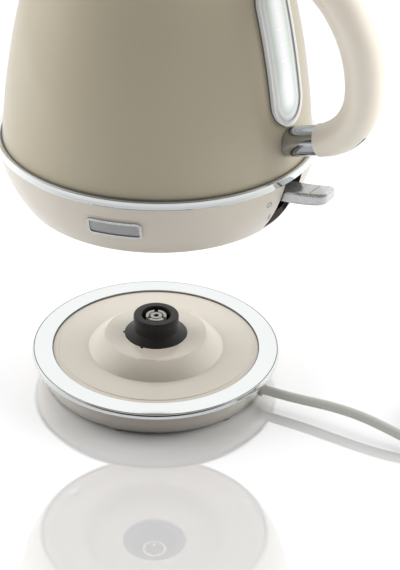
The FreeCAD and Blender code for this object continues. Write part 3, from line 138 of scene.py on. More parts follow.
class Finish:
    def __init__(self, owner, placing="Object"):
        # owner is a world, or the name of a new material
        self.material = owner if isinstance(owner, bpy.types.World) else bpy.data.materials.new(owner)
        self.material.use_nodes = True
        self.tree = self.material.node_tree
        self.tree.nodes.clear()
        self.place = self.add("ShaderNodeTexCoord", {}, {}, placing)

    def add(self, kind, settings, sockets, out=0):
        node = self.tree.nodes.new(kind)
        for key, value in settings.items():
            if key == "stops":
                ramp = node.color_ramp
                while len(ramp.elements) < len(value):
                    ramp.elements.new(0.5)
                for element, (position, colour) in zip(ramp.elements, value):
                    element.position = position
                    element.color = (*colour, 1.0)
            else:
                setattr(node, key, value)
        for key, value in sockets.items():
            if isinstance(value, Wire):
                self.tree.links.new(value.socket, node.inputs[key])
            elif node.inputs[key].type == "RGBA":
                node.inputs[key].default_value = (*value, 1.0)
            else:
                node.inputs[key].default_value = value
        return Wire(self, node.outputs[out])

    def stretched(self, amounts):
        return self.add("ShaderNodeMapping", {}, {"Vector": self.place, "Scale": amounts})

    def cloud(self, scale, detail, spread, where=None):
        return self.add(
            "ShaderNodeTexNoise", {},
            {"Vector": where or self.place, "Scale": scale, "Detail": detail, "Roughness": spread},
        )

    def cells(self, scale):
        return self.add("ShaderNodeTexVoronoi", {}, {"Vector": self.place, "Scale": scale})

    def between(self, share, first, second):
        # inputs 6 and 7 and output 2 are the node's colours
        return self.add("ShaderNodeMix", {"data_type": "RGBA"}, {0: share, 6: first, 7: second}, 2)

    def shaded(self, cloud, colour, low, high):
        # colour that goes from a low to a high shade with a cloud
        return self.between(cloud, shade(colour, low), shade(colour, high))

    def along(self, direction):
        # how far the place lies along a direction
        sockets = {0: self.place, 1: direction}
        return self.add("ShaderNodeVectorMath", {"operation": "DOT_PRODUCT"}, sockets, "Value")

    def darkPlace(self, dark):
        # 1 in a stretch on the handle's side, between its foot and top and near the middle plane: where
        # the slot's painted shade and the cap's dark stripe go
        out = self.along(eastWay)
        across = self.along(northWay)
        up = self.along(upWay)
        edge = dark["edge"]
        near = 1 - ((across * across) ** 0.5).rising(dark["half"], dark["half"] + dark["soft"])
        above = up.rising(dark["foot"] - edge, dark["foot"])
        below = 1 - up.rising(dark["top"], dark["top"] + edge)
        return near * (above * below) * out.rising(dark["from"], dark["from"] + edge)

    def bump(self, height, depth):
        return self.add("ShaderNodeBump", {}, {"Height": height, "Distance": depth})

    def surface(self, sockets):
        self.close(self.add("ShaderNodeBsdfPrincipled", {}, sockets))
        return self.material

    def close(self, shader, kind="ShaderNodeOutputMaterial"):
        node = self.tree.nodes.new(kind)
        self.tree.links.new(shader.socket, node.inputs["Surface"])


# Finishes: each kind has a basis that its looks add to; a cloud is (detail, spread), a step is (from, to)
mouldBasis = {
    "patchCloud": (3.0, 0.55), "grainCloud": (2.0, 0.6), "dustCloud": (4.0, 0.7), "dustScale": 9.0,
    "dustStep": (0.62, 0.78), "dustAmount": 0.06, "dustTone": 1.25, "dustRough": 0.05, "darkRough": 0.9,
    "ior": 1.5,
}


def mouldedPlastic(name, look):
    # clouding, fine moulded grain and a thin gloss skin
    look = {**mouldBasis, **look}
    finish = Finish(name)
    patch = finish.cloud(look["patchScale"], *look["patchCloud"])
    grain = finish.cloud(look["grainScale"], *look["grainCloud"])
    specks = finish.cloud(look["patchScale"] * look["dustScale"], *look["dustCloud"])
    dust = specks.rising(*look["dustStep"])
    tone = finish.shaded(patch, look["colour"], 1 - look["patch"], 1 + look["patch"])
    tone = finish.between(dust * look["dustAmount"], tone, shade(look["colour"], look["dustTone"]))
    rough = look["rough"] + patch.swing(look["roughSpread"]) + dust * look["dustRough"]
    coat = look["coat"]
    # a dark place painted over the tone: painted shade on the switch slot's walls, the dark stripe on the
    # handle's cap
    if "dark" in look:
        dark = finish.darkPlace(look["dark"])
        tone = finish.between(dark, tone, look["dark"]["colour"])
        rough = rough.atLeast(dark * look["darkRough"])
        coat = (1 - dark) * coat
    return finish.surface({
        "Base Color": tone,
        "Roughness": rough,
        "Normal": finish.bump(grain, look["grainDepth"]),
        "IOR": look["ior"],
        "Coat Weight": coat,
        "Coat Roughness": look["coatRough"],
    })


enamelBasis = {
    "patchCloud": (3.0, 0.5), "peelCloud": (2.0, 0.5), "fleckStep": (0.10, 0.32), "fleckTone": 1.10,
    "roughSpread": 0.06, "coatIor": 1.5, "specular": 0.25,
}


def enamelPaint(name, look):
    # stoved paint on steel: deep even colour, soft orange peel, hard clear skin
    look = {**enamelBasis, **look}
    finish = Finish(name)
    patch = finish.cloud(look["patchScale"], *look["patchCloud"])
    peel = finish.cloud(look["peelScale"], *look["peelCloud"])
    fleck = finish.cells(look["fleckScale"]).rising(*look["fleckStep"])
    tone = finish.shaded(patch, look["colour"], 1 - look["patch"], 1 + look["patch"])
    tone = finish.between(fleck, shade(look["colour"], look["fleckTone"]), tone)
    metallic = 0.0
    coat = look["coat"]
    if "bare" in look:
        # steel on the faces that lie deeper than the paint, inside the kettle
        bare = look["bare"]
        centreReach, centreHeight = bodyBow["centre"]
        level = finish.along(upWay) - (kettleLevel + centreHeight) / perMetre
        wall = ((bodyBow["radius"] / perMetre) ** 2 - level * level) ** 0.5 + centreReach / perMetre
        east = finish.along(eastWay)
        north = finish.along(northWay)
        steel = (wall - (east * east + north * north) ** 0.5).rising(*bare["deep"])
        tone = finish.between(steel, tone, bare["colour"])
        metallic = steel * bare["metallic"]
        coat = (1 - steel) * coat
    return finish.surface({
        "Base Color": tone,
        "Roughness": look["rough"] + patch.swing(look["roughSpread"]),
        "Normal": finish.bump(peel, look["peelDepth"]),
        "Metallic": metallic,
        "Coat Weight": coat,
        "Coat Roughness": look["coatRough"],
        "Coat IOR": look["coatIor"],
        "Specular IOR Level": look["specular"],
    })


chromeBasis = {
    "hazeCloud": (4.0, 0.6), "hazeStep": (0.45, 0.8), "hazeTone": 0.95, "hazeDepth": 0.000004,
    "wipeCloud": (3.0, 0.6), "wipeStep": (0.6, 0.9), "wipeScale": 90.0, "wipeStretch": (1.0, 1.0, 9.0),
}


def mirrorChrome(name, look):
    # plated metal with faint wiping marks
    look = {**chromeBasis, **look}
    finish = Finish(name)
    haze = finish.cloud(look["hazeScale"], *look["hazeCloud"])
    wipe = finish.cloud(look["wipeScale"], *look["wipeCloud"], finish.stretched(look["wipeStretch"]))
    hazeSmear = haze.rising(*look["hazeStep"]) * look["smear"]
    wipeSmear = wipe.rising(*look["wipeStep"]) * look["smear"]
    return finish.surface({
        "Base Color": finish.shaded(haze, look["colour"], look["hazeTone"], 1.0),
        "Metallic": 1.0,
        "Roughness": look["rough"] + hazeSmear + wipeSmear,
        "Normal": finish.bump(haze, look["hazeDepth"]),
    })


brushBasis = {
    "lineCloud": (3.0, 0.65), "lineTones": (0.82, 1.10), "lineRough": 0.22,
    "patchCloud": (3.0, 0.5), "patchScale": 40.0, "patchRough": 0.10,
}


def brushedMetal(name, look):
    # drawn or brushed lines along one direction
    look = {**brushBasis, **look}
    finish = Finish(name)
    lines = finish.cloud(look["lineScale"], *look["lineCloud"], finish.stretched(look["along"]))
    patch = finish.cloud(look["patchScale"], *look["patchCloud"])
    tone = finish.shaded(lines, look["colour"], *look["lineTones"])
    return finish.surface({
        "Base Color": finish.between(patch * look["stain"], tone, look["stainColour"]),
        "Metallic": look["metallic"],
        "Roughness": look["rough"] + lines.swing(look["lineRough"]) + patch.swing(look["patchRough"]),
        "Normal": finish.bump(lines, look["lineDepth"]),
    })


bandBasis = {"milkCloud": (4.0, 0.6), "milkRough": 0.08, "grainCloud": (2.0, 0.6), "coatRough": 0.06}


def gaugeBands(name, look):
    # rings of tone that follow the oblong of the gauge, from its edge inwards, with a milky bloom; the
    # rings mix the gauge's own colours with painted highlights and shade
    look = {**bandBasis, **look}
    finish = Finish(name)
    across = finish.along(northWay)
    up = finish.along(upWay)
    past = (look["low"] - up).atLeast(up - look["high"]).atLeast(0.0)
    inset = 1 - (across * across + past * past) ** 0.5 / look["half"]
    # these rings carry painted highlights and shade of the frame's steps and groove, beside the gauge's
    # own colours
    rings = finish.add("ShaderNodeValToRGB", {"stops": look["stops"]}, {"Fac": inset})
    milk = finish.cloud(look["milkScale"], *look["milkCloud"])
    grain = finish.cloud(look["grainScale"], *look["grainCloud"])
    return finish.surface({
        "Base Color": finish.between(milk * look["milk"], rings, look["milkColour"]),
        "Roughness": look["rough"] + milk.swing(look["milkRough"]),
        "Normal": finish.bump(grain, look["grainDepth"]),
        "Coat Weight": look["coat"],
        "Coat Roughness": look["coatRough"],
    })


rubberBasis = {
    "bloomCloud": (5.0, 0.65), "bloomScale": 55.0, "bloomTones": (0.85, 1.2), "bloomRough": 0.16,
    "grainCloud": (2.0, 0.6), "grainScale": 1800.0, "grainDepth": 0.00003, "sheen": 0.15,
}


def softRubber(name, look):
    # matt with a chalky bloom
    look = {**rubberBasis, **look}
    finish = Finish(name)
    bloom = finish.cloud(look["bloomScale"], *look["bloomCloud"])
    grain = finish.cloud(look["grainScale"], *look["grainCloud"])
    return finish.surface({
        "Base Color": finish.shaded(bloom, look["colour"], *look["bloomTones"]),
        "Roughness": look["rough"] + bloom.swing(look["bloomRough"]),
        "Normal": finish.bump(grain, look["grainDepth"]),
        "Sheen Weight": look["sheen"],
    })


# Looks: one for each material slot, then those of single nodes, then the printing inks
beige = (0.74, 0.68, 0.585)
deckBeige = shade(beige, 0.75)
panBeige = shade(beige, 0.60)
collarBeige = shade(beige, 0.68)
satinLook = {
    "colour": beige, "patch": 0.02, "patchScale": 26.0, "grainScale": 2600.0, "grainDepth": 0.000008,
    "rough": 0.34, "roughSpread": 0.08, "coat": 0.55, "coatRough": 0.08,
}
baseLook = {**satinLook, "colour": deckBeige, "rough": 0.30, "coat": 0.75, "coatRough": 0.07}
paintLook = {
    "colour": (0.360, 0.320, 0.237), "patch": 0.015, "patchScale": 18.0, "peelScale": 420.0,
    "peelDepth": 0.000006, "fleckScale": 2600.0, "rough": 0.42, "coat": 0.35, "coatRough": 0.10,
}
bareSteel = {"deep": (0.0004, 0.0006), "metallic": 0.9, "colour": (0.62, 0.62, 0.61)}
brassLook = {
    "colour": (0.74, 0.55, 0.25), "lineScale": 120.0, "along": (8.0, 8.0, 1.0), "stain": 0.25,
    "stainColour": (0.40, 0.27, 0.12), "metallic": 1.0, "rough": 0.22, "lineDepth": 0.000006,
}

# tones of the gauge from its edge at 0 to its middle at 1: its own pale frame, greenish window and white
# middle, with a painted highlight on the frame's edge and painted shade on its step and in its groove
gaugeTone = 0.80
gaugeStopsWithPaintedLight = [
    (0.00, (0.80, 0.80, 0.79)), (0.05, (0.80, 0.80, 0.79)), (0.09, (0.70, 0.70, 0.69)),
    (0.14, (0.60, 0.60, 0.59)), (0.22, (0.44, 0.45, 0.43)), (0.31, (0.60, 0.61, 0.60)),
    (0.40, (0.62, 0.64, 0.63)), (0.46, (0.46, 0.50, 0.47)), (0.52, (0.50, 0.57, 0.51)),
    (0.62, (0.58, 0.67, 0.60)), (0.72, (0.70, 0.75, 0.73)), (0.86, (0.82, 0.82, 0.85)),
    (1.00, (0.86, 0.86, 0.87)),
]
gaugeLook = {
    "low": 0.2030, "high": 0.2529, "half": 0.0145,
    "stops": [(spot, shade(colour, gaugeTone)) for spot, colour in gaugeStopsWithPaintedLight],
}

looks = {
    "beige_plastic": mouldedPlastic("satinBeige", satinLook),
    "body_paint": enamelPaint("taupeEnamel", paintLook),
    "chrome": mirrorChrome("mirrorChrome", {
        "colour": (0.80, 0.825, 0.815), "hazeScale": 30.0, "rough": 0.03, "smear": 0.03}),
    "black_plastic": mouldedPlastic("mattBlack", {
        "colour": (0.014, 0.013, 0.013), "patch": 0.15, "patchScale": 90.0, "grainScale": 3200.0,
        "grainDepth": 0.00003, "rough": 0.42, "roughSpread": 0.14, "coat": 0.0, "coatRough": 0.2,
        "ior": 1.38}),
    "cover_plastic": mouldedPlastic("sparkedBeige", {
        "colour": (0.50, 0.45, 0.375), "patch": 0.04, "patchScale": 30.0, "grainScale": 1500.0,
        "grainDepth": 0.00006, "rough": 0.55, "roughSpread": 0.1, "coat": 0.0, "coatRough": 0.2}),
    "contact_plastic": mouldedPlastic("paleInsert", {
        "colour": (0.34, 0.34, 0.32), "patch": 0.05, "patchScale": 160.0, "grainScale": 2400.0,
        "grainDepth": 0.00002, "rough": 0.4, "roughSpread": 0.1, "coat": 0.2, "coatRough": 0.15}),
    "steel": brushedMetal("brushedSteel", {
        "colour": (0.62, 0.62, 0.60), "lineScale": 60.0, "along": (30.0, 1.0, 30.0), "stain": 0.12,
        "stainColour": (0.52, 0.48, 0.42), "metallic": 1.0, "rough": 0.30, "lineDepth": 0.000012}),
    "aluminium": brushedMetal("castAluminium", {
        "colour": (0.72, 0.72, 0.72), "lineScale": 300.0, "along": (1.0, 1.0, 1.0), "stain": 0.15,
        "stainColour": (0.5, 0.5, 0.5), "metallic": 1.0, "rough": 0.45, "lineDepth": 0.00004}),
    "brass": brushedMetal("brightBrass", brassLook),
    "rubber": softRubber("footRubber", {"colour": (0.26, 0.25, 0.225), "rough": 0.75}),
    "seal_rubber": softRubber("paleSilicone", {"colour": (0.62, 0.61, 0.57), "rough": 0.55}),
    "gasket_rubber": softRubber("gasketRubber", {"colour": (0.10, 0.10, 0.095), "rough": 0.5}),
    "cord_plastic": mouldedPlastic("greyLead", {
        "colour": (0.41, 0.415, 0.38), "patch": 0.04, "patchScale": 60.0, "grainScale": 1900.0,
        "grainDepth": 0.00002, "rough": 0.46, "roughSpread": 0.1, "coat": 0.15, "coatRough": 0.25}),
    "tie_plastic": mouldedPlastic("tiePlastic", {
        "colour": (0.03, 0.03, 0.03), "patch": 0.2, "patchScale": 200.0, "grainScale": 1600.0,
        "grainDepth": 0.00004, "rough": 0.5, "roughSpread": 0.1, "coat": 0.1, "coatRough": 0.3}),
    "wire_plastic": mouldedPlastic("coreInsulation", {
        "colour": (0.20, 0.14, 0.07), "patch": 0.1, "patchScale": 120.0, "grainScale": 1600.0,
        "grainDepth": 0.00002, "rough": 0.4, "roughSpread": 0.1, "coat": 0.2, "coatRough": 0.2}),
    "gauge_frame": gaugeBands("paleFrame", {
        **gaugeLook, "milk": 0.05, "milkScale": 70.0, "milkColour": (0.6, 0.6, 0.6),
        "grainScale": 1800.0, "grainDepth": 0.00001, "rough": 0.30, "coat": 0.35}),
    "gauge_glass": gaugeBands("milkyWindow", {
        **gaugeLook, "milk": 0.22, "milkScale": 130.0, "milkColour": (0.80, 0.78, 0.84),
        "grainScale": 500.0, "grainDepth": 0.00002, "rough": 0.16, "coat": 0.5}),
    "silver_plastic": brushedMetal("silverPlastic", {
        "colour": (0.66, 0.66, 0.67), "lineScale": 500.0, "along": (1.0, 1.0, 1.0), "stain": 0.05,
        "stainColour": (0.55, 0.55, 0.55), "metallic": 0.75, "rough": 0.24, "lineDepth": 0.000004}),
    "badge_metal": brushedMetal("bareBadge", {
        "colour": (0.40, 0.40, 0.40), "lineScale": 200.0, "along": (1.0, 1.0, 30.0), "stain": 0.1,
        "stainColour": (0.2, 0.2, 0.2), "metallic": 0.9, "rough": 0.34, "lineDepth": 0.00001}),
}

# painted shade on the walls of the switch's slot, and a dark stripe down the middle of the handle's cap
slotShade = {
    "half": 0.00874, "soft": 0.00006, "from": 0.070, "foot": 0.1284, "top": 0.1590, "edge": 0.0002,
    "colour": (0.03, 0.026, 0.022),
}
capShade = {
    "half": 0.0024, "soft": 0.0003, "from": 0.070, "foot": 0.1, "top": 0.3, "edge": 0.0002,
    "colour": (0.05, 0.045, 0.04),
}
ownLooks = {
    "body_shell": enamelPaint("shellEnamel", {**paintLook, "bare": bareSteel}),
    "base_deck": mouldedPlastic("deckBeige", baseLook),
    "base_pan": mouldedPlastic("panBeige", {**baseLook, "colour": panBeige}),
    "handle_cap": mouldedPlastic("capBeige", {**baseLook, "colour": beige, "dark": capShade}),
    # the collar's slot walls take painted shade
    "lower_collar": mouldedPlastic("collarBeige", {
        **satinLook, "colour": collarBeige, "dark": slotShade, "coat": 0.30}),
    "handle_ferrules": mirrorChrome("smokedChrome", {
        "colour": (0.50, 0.52, 0.54), "hazeScale": 40.0, "rough": 0.05, "smear": 0.04}),
    "connector_sleeves": brushedMetal("darkSleeve", {
        **brassLook, "colour": (0.05, 0.045, 0.035), "stain": 0.3, "stainColour": (0.02, 0.02, 0.02),
        "metallic": 0.8, "rough": 0.40}),
}

inkLook = {
    "patchScale": 300.0, "grainScale": 4000.0, "grainDepth": 0.000004, "roughSpread": 0.1, "coat": 0.0,
    "coatRough": 0.3,
}
inks = {
    "marks": mouldedPlastic("greyPrint", {
        **inkLook, "colour": (0.16, 0.15, 0.14), "patch": 0.1, "rough": 0.5}),
    "scale": mouldedPlastic("whiteScale", {
        **inkLook, "colour": (0.88, 0.88, 0.89), "patch": 0.04, "rough": 0.4}),
}
print("finishes made:", len(looks) + len(ownLooks) + len(inks))


# CAD nodes keep their shape: welded for shading, edges kept crisp, and given their finish
edgeLook = {"weld": 0.000004, "crispAngle": 28.0, "evenWeight": 100}


def crispEdges(piece):
    piece.data.polygons.foreach_set("use_smooth", [True] * len(piece.data.polygons))
    crisp = piece.modifiers.new("crisp", "EDGE_SPLIT")
    crisp.split_angle = math.radians(edgeLook["crispAngle"])
    even = piece.modifiers.new("even", "WEIGHTED_NORMAL")
    even.mode = "FACE_AREA"
    even.weight = edgeLook["evenWeight"]


for part in frame["record"]["subparts"]:
    node = nodes[part["node"]]
    node.data.materials.clear()
    node.data.materials.append(ownLooks.get(part["node"]) or looks[part["material_slot"]])
    spare = node.data.attributes.get("custom_normal")
    if spare:
        node.data.attributes.remove(spare)
    weld = node.modifiers.new("weld", "WELD")
    weld.merge_threshold = edgeLook["weld"]
    crispEdges(node)
print("nodes dressed")


# Pieces that the fill light reaches: all that isn't on the power base, and later the cord
fillTakers = []
for body, names in frame["record"]["behaviour"]["bodies"].items():
    if body != "power_base":
        fillTakers += [nodes[name] for name in names]


def keep(name, shape, slot, body, finish=None):
    piece = bpy.data.objects.new(name, shape)
    bpy.context.scene.collection.objects.link(piece)
    shape.materials.append(finish or looks[slot])
    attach(piece, body)
    if body != "power_base":
        fillTakers.append(piece)
    return piece


# Turned rings: a profile of (radius, height) pairs in millimetres, spun about the axis
turnLook = {"steps": 200, "roundSteps": 9, "merge": 0.000001}


def turnedRing(name, profile, slot, body):
    shape = bpy.data.meshes.new(name)
    ring = bmesh.new()
    corners = [ring.verts.new((radius / perMetre, 0.0, height / perMetre)) for radius, height in profile]
    edges = [ring.edges.new((corners[index - 1], corners[index])) for index in range(len(corners))]
    bmesh.ops.spin(
        ring, geom=corners + edges, cent=(0, 0, 0), axis=upWay,
        angle=2 * math.pi, steps=turnLook["steps"], use_merge=True,
    )
    bmesh.ops.remove_doubles(ring, verts=ring.verts, dist=turnLook["merge"])
    bmesh.ops.recalc_face_normals(ring, faces=ring.faces)
    ring.to_mesh(shape)
    ring.free()
    piece = keep(name, shape, slot, body)
    crispEdges(piece)
    return piece


def rounded(across, top, wide, tall):
    # quarter round from a flat top to an upright side
    count = turnLook["roundSteps"]
    angles = [math.radians(90.0 * step / count) for step in range(count + 1)]
    return [(across + wide * math.sin(angle), top - tall * (1 - math.cos(angle))) for angle in angles]


ringLook = {
    "inner": 62.9, "innerRound": 0.15, "outer": 75.2, "top": 19.5, "lip": 2.8, "sheet": 1.2,
    "line": (73.75, 74.25), "lineDeep": 0.35,
    "bevel": [(74.25, 0.05), (74.45, 0.12), (74.70, 0.50), (75.05, 1.70), (75.16, 2.15), (75.2, 2.50)],
}
lineIn, lineOut = ringLook["line"]
ringTop = ringLook["top"]
ringUnder = ringTop - ringLook["sheet"]
lipFoot = ringTop - ringLook["lip"]
lipIn = ringLook["outer"] - ringLook["sheet"]
lineFloor = ringTop - ringLook["lineDeep"]
baseRing = turnedRing("baseRing", [
    (ringLook["inner"], ringUnder),
    (ringLook["inner"], ringTop - ringLook["innerRound"]),
    (ringLook["inner"] + ringLook["innerRound"], ringTop),
    (lineIn, ringTop),
    (lineIn, lineFloor),
    (lineOut, lineFloor),
    *[(radius, ringTop - drop) for radius, drop in ringLook["bevel"]],
    (ringLook["outer"], lipFoot),
    (lipIn, lipFoot),
    (lipIn, ringUnder),
], "chrome", "power_base")
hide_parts("base_ring")

trimLook = {
    "inner": 87.6, "innerDrop": 0.55, "innerRound": 0.2, "outer": 90.3, "wide": 0.6, "tall": 0.8,
    "belly": 0.06, "bellyDrop": 2.6, "foot": 4.8, "footRise": 0.5, "footIn": 0.05, "soleIn": 0.4,
}
trimFoot = kettleLevel - trimLook["foot"]
trimInnerTop = kettleLevel - trimLook["innerDrop"]
trimRing = turnedRing("trimRing", [
    (trimLook["inner"], trimFoot),
    (trimLook["inner"], trimInnerTop - trimLook["innerRound"]),
    (trimLook["inner"] + trimLook["innerRound"], trimInnerTop),
    *rounded(trimLook["outer"] - trimLook["wide"], kettleLevel, trimLook["wide"], trimLook["tall"]),
    (trimLook["outer"] + trimLook["belly"], kettleLevel - trimLook["bellyDrop"]),
    (trimLook["outer"] - trimLook["footIn"], trimFoot + trimLook["footRise"]),
    (trimLook["outer"] - trimLook["soleIn"], trimFoot),
], "chrome", "kettle")
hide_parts("trim_ring")

# dark rubber rings put in as painted shade: in the joint of deck and ring, in the ring's own line, and
# between body and trim
shadowBeadLook = {
    "round": 0.1, "deckIn": 62.35, "deckOut": 62.85, "deckLow": 18.45, "deckHigh": 18.85,
    "lineGap": 0.02, "lineLow": 0.34, "lineHigh": 0.06,
    "trimIn": 86.72, "trimOut": 87.55, "trimLow": 1.6, "trimHigh": 0.75,
}
shadowBeads = [
    (
        "deckShadowBead", "power_base", shadowBeadLook["deckIn"], shadowBeadLook["deckOut"],
        shadowBeadLook["deckLow"], shadowBeadLook["deckHigh"],
    ),
    (
        "ringShadowLine", "power_base", lineIn + shadowBeadLook["lineGap"], lineOut - shadowBeadLook["lineGap"],
        ringTop - shadowBeadLook["lineLow"], ringTop - shadowBeadLook["lineHigh"],
    ),
    (
        "trimShadowBead", "kettle", shadowBeadLook["trimIn"], shadowBeadLook["trimOut"],
        kettleLevel - shadowBeadLook["trimLow"], kettleLevel - shadowBeadLook["trimHigh"],
    ),
]
# each ring is a dark sheet standing in for the shade in its joint
for name, body, inside, outside, low, high in shadowBeads:
    soft = shadowBeadLook["round"]
    turnedRing(name, [
        (inside, low), (inside, high - soft), (inside + soft, high),
        (outside - soft, high), (outside, high - soft), (outside, low),
    ], "gasket_rubber", body)
print("rings turned")


# Printed marks beside the switch: angles in degrees, heights in millimetres, other sizes in metres
markLook = {
    "ring": {"angle": -11.9, "height": -14.5, "radius": 0.0019, "line": 0.00042},
    "bar": {"angle": -8.55, "height": -25.2, "tall": 0.0040, "line": 0.00045},
    "proud": 0.00006, "thick": 0.00012, "segments": 40,
}


def standOn(bow, angle, height, proud):
    # matrix with X along the ring, Y up the wall and Z out of it
    drop = height - bow["centre"][1]
    run = math.sqrt(bow["radius"] ** 2 - drop ** 2)
    out = Vector((run, 0.0, drop)) / bow["radius"]
    up = Vector((-drop, 0.0, run)) / bow["radius"]
    place = Vector((bow["centre"][0] + run, 0.0, height + kettleLevel)) / perMetre + out * proud
    across = up.cross(out)
    turn = Matrix((across, up, out)).transposed().to_4x4()
    return Matrix.Rotation(math.radians(angle), 4, "Z") @ Matrix.Translation(place) @ turn


def printRing(mark, look, place):
    made = bmesh.ops.create_circle(mark, segments=markLook["segments"], radius=look["radius"])
    rim = list({edge for corner in made["verts"] for edge in corner.link_edges})
    grown = bmesh.ops.extrude_edge_only(mark, edges=rim)
    inner = [piece for piece in grown["geom"] if isinstance(piece, bmesh.types.BMVert)]
    share = 1 - look["line"] / look["radius"]
    bmesh.ops.scale(mark, vec=(share, share, 1.0), verts=inner)
    bmesh.ops.transform(mark, matrix=place, verts=made["verts"] + inner)


def printBar(mark, wide, tall, place):
    # the square is one metre wide until it is scaled
    made = bmesh.ops.create_grid(mark, x_segments=1, y_segments=1, size=0.5)
    bmesh.ops.scale(mark, vec=(wide, tall, 1.0), verts=made["verts"])
    bmesh.ops.transform(mark, matrix=place, verts=made["verts"])


def keepMarks(name, mark, slot, finish):
    bmesh.ops.recalc_face_normals(mark, faces=mark.faces)
    bmesh.ops.solidify(mark, geom=mark.faces[:], thickness=markLook["thick"])
    bmesh.ops.recalc_face_normals(mark, faces=mark.faces)
    shape = bpy.data.meshes.new(name)
    mark.to_mesh(shape)
    mark.free()
    keep(name, shape, slot, "kettle", finish)


ringMark = markLook["ring"]
barMark = markLook["bar"]
ringPlace = standOn(collarBow, ringMark["angle"], ringMark["height"], markLook["proud"])
barPlace = standOn(collarBow, barMark["angle"], barMark["height"], markLook["proud"])
marks = bmesh.new()
printRing(marks, ringMark, ringPlace)
printBar(marks, barMark["line"], barMark["tall"], barPlace)
keepMarks("switchMarks", marks, "beige_plastic", inks["marks"])

# ticks of the water scale, long and short in turn, in the same units
tickLook = {
    "angle": 0.0, "first": 44.0, "step": 8.0, "count": 7, "wide": 0.0042, "short": 0.0024, "line": 0.0005,
    "proud": 0.00155,
}
ticks = bmesh.new()
for index in range(tickLook["count"]):
    wide = tickLook["short"] if index % 2 else tickLook["wide"]
    height = tickLook["first"] + tickLook["step"] * index
    tickPlace = standOn(bodyBow, tickLook["angle"], height, tickLook["proud"])
    printBar(ticks, wide, tickLook["line"], tickPlace)
keepMarks("gaugeTicks", ticks, "gauge_glass", inks["scale"])
print("marks printed")


# Mains cord, in metres: out under the ring, down to the table, a coil in two layers, a tail to the plug
cordLook = {
    "radius": 0.0029, "exit": (0.0717, 0.00906, 0.0092), "order": 3, "fine": 6, "roundFine": 6,
    "start": [(0.0496, 0.00627, 0.0092), (0.0816, 0.01031, 0.0092)],
    "route": [
        (0.0988, 0.0132, 0.0098), (0.1160, 0.0156, 0.0110),
        (0.1335, 0.0168, 0.0112), (0.1515, 0.0168, 0.0096),
    ],
    "entry": [(0.1680, 0.0176, 0.0066), (0.18370, 0.02084, 0.0042)],
    "tail": [(0.22716, 0.06430, 0.01017), (0.22748, 0.07629, 0.01017), (0.22781, 0.08821, 0.01158)],
}
coilLook = {
    "centre": (0.1895, 0.0585), "outer": 0.0375, "pitch": 0.0064, "layer": 0.0064, "rest": 0.00377,
    "turns": 2.25, "first": -90.0, "climb": 0.5, "perTurn": 20,
}


def coilPoint(turn):
    # inwards on the table, then outwards again one layer higher
    middle = coilLook["turns"] / 2
    reach = coilLook["outer"] - coilLook["pitch"] * (middle - abs(turn - middle))
    reach /= math.cos(math.pi / coilLook["perTurn"])  # the spline runs inside its points
    climb = min(max((turn - middle) / coilLook["climb"] + 0.5, 0.0), 1.0)
    angle = math.radians(coilLook["first"] + 360.0 * turn)
    return (
        coilLook["centre"][0] + reach * math.cos(angle),
        coilLook["centre"][1] + reach * math.sin(angle),
        coilLook["rest"] + coilLook["layer"] * climb * climb * (3 - 2 * climb),
    )


def makeCord():
    curve = bpy.data.curves.new("leadCord", "CURVE")
    curve.dimensions = "3D"
    count = int(coilLook["turns"] * coilLook["perTurn"])
    points = cordLook["start"] + cordLook["route"] + cordLook["entry"]
    points += [coilPoint(step / coilLook["perTurn"]) for step in range(count + 1)]
    points += cordLook["tail"]
    spline = curve.splines.new("NURBS")
    spline.points.add(len(points) - 1)
    for spot, point in zip(spline.points, points):
        spot.co = (*point, 1.0)
    spline.order_u = cordLook["order"]
    spline.use_endpoint_u = True
    spline.resolution_u = cordLook["fine"]
    curve.bevel_depth = cordLook["radius"]
    curve.bevel_resolution = cordLook["roundFine"]
    curve.use_fill_caps = True
    return keep("leadCord", curve, "cord_plastic", "power_base")


leadCord = makeCord()
fillTakers.append(leadCord)
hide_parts("mains_cord", "cord_coil")
print("cord laid")


# Stage: plain pale floor that mirrors a little, and studio light
stageLook = {
    "floorSize": 20.0, "floorTone": (0.84, 0.84, 0.85),
    "shine": 0.40, "shineTone": (1.0, 1.0, 1.0), "shineRough": 0.02,
}


def makeFloor():
    shape = bpy.data.meshes.new("paleFloor")
    grid = bmesh.new()
    bmesh.ops.create_grid(grid, x_segments=1, y_segments=1, size=stageLook["floorSize"])
    grid.to_mesh(shape)
    grid.free()
    finish = Finish("paleFloor")
    matt = finish.add("ShaderNodeBsdfDiffuse", {}, {"Color": stageLook["floorTone"]})
    gloss = finish.add(
        "ShaderNodeBsdfGlossy", {},
        {"Color": stageLook["shineTone"], "Roughness": stageLook["shineRough"]},
    )
    finish.close(finish.add("ShaderNodeMixShader", {}, {0: stageLook["shine"], 1: matt, 2: gloss}))
    shape.materials.append(finish.material)
    floor = bpy.data.objects.new("paleFloor", shape)
    bpy.context.scene.collection.objects.link(floor)


makeFloor()

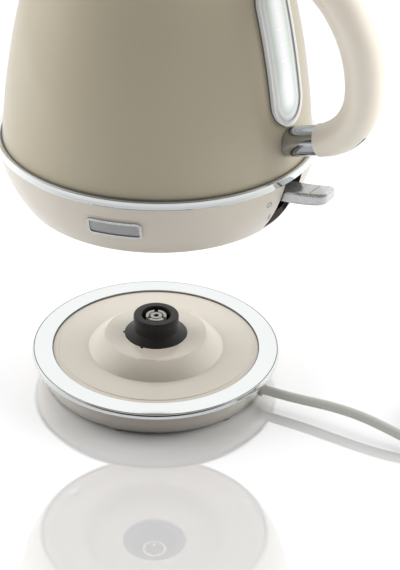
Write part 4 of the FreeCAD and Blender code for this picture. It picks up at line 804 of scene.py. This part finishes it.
# White room behind and beside, dim on the side that faces the badge, and boxes of light
lightLook = {
    "back": (-0.574, 0.819, 0.0), "backStep": (-0.35, 0.40), "dim": 0.03, "bright": 1.15,
    "ceiling": 0.40, "ceilingStep": (0.86, 0.99),
    "strip": 0.55, "stripRise": (0.17, 0.24), "stripFall": (0.45, 0.52),
    "seen": 0.92, "tone": (1.0, 1.0, 1.0),
    # a box is name, place, width, height and power
    "aim": (0.0, 0.0, 0.18),
    "boxes": [
        ("leftBox", (-0.95, -0.45, 0.50), 1.0, 1.1, 13.5),
        ("rightBox", (0.90, 0.55, 0.50), 0.8, 1.1, 13.0),
        ("topBox", (-0.20, 0.30, 1.60), 1.4, 1.4, 8.0),
    ],
    "fill": ("fillBox", (0.62, -1.15, 0.12), 1.6, 0.45, 8.8),
}


def makeBox(name, place, wide, tall, power):
    lamp = bpy.data.lights.new(name, "AREA")
    lamp.shape = "RECTANGLE"
    lamp.size = wide
    lamp.size_y = tall
    lamp.energy = power
    box = bpy.data.objects.new(name, lamp)
    bpy.context.scene.collection.objects.link(box)
    box.location = place
    box.rotation_euler = (Vector(lightLook["aim"]) - Vector(place)).to_track_quat("-Z", "Y").to_euler()
    box.visible_glossy = False  # the chrome shows the room, not the boxes
    return box


def makeRoom():
    world = bpy.data.worlds.new("studio")
    bpy.context.scene.world = world
    finish = Finish(world, "Generated")
    room = finish.along(lightLook["back"]).rising(*lightLook["backStep"])
    walls = lightLook["dim"] + room * (lightLook["bright"] - lightLook["dim"])
    up = finish.along(upWay)
    # pale strip above the dim side that only shiny faces show
    strip = up.rising(*lightLook["stripRise"]) * (1 - up.rising(*lightLook["stripFall"]))
    mirrored = finish.add("ShaderNodeLightPath", {}, {}, "Is Glossy Ray")
    walls = walls.atLeast(strip * lightLook["strip"] * mirrored)
    roof = up.rising(*lightLook["ceilingStep"])
    level = walls + roof * (lightLook["ceiling"] - walls)
    seen = finish.add("ShaderNodeLightPath", {}, {}, "Is Camera Ray")
    level = level + seen * (lightLook["seen"] - level)
    glow = finish.add("ShaderNodeBackground", {}, {"Color": lightLook["tone"], "Strength": level})
    finish.close(glow, "ShaderNodeOutputWorld")


def makeLight():
    for box in lightLook["boxes"]:
        makeBox(*box)
    # broad fill that softens the kettle's front and the cord, and leaves the base as it is
    fill = makeBox(*lightLook["fill"])
    takers = bpy.data.collections.new("fillTakers")
    for piece in fillTakers:
        takers.objects.link(piece)
    fill.light_linking.receiver_collection = takers


makeRoom()
makeLight()
print("stage and light set")
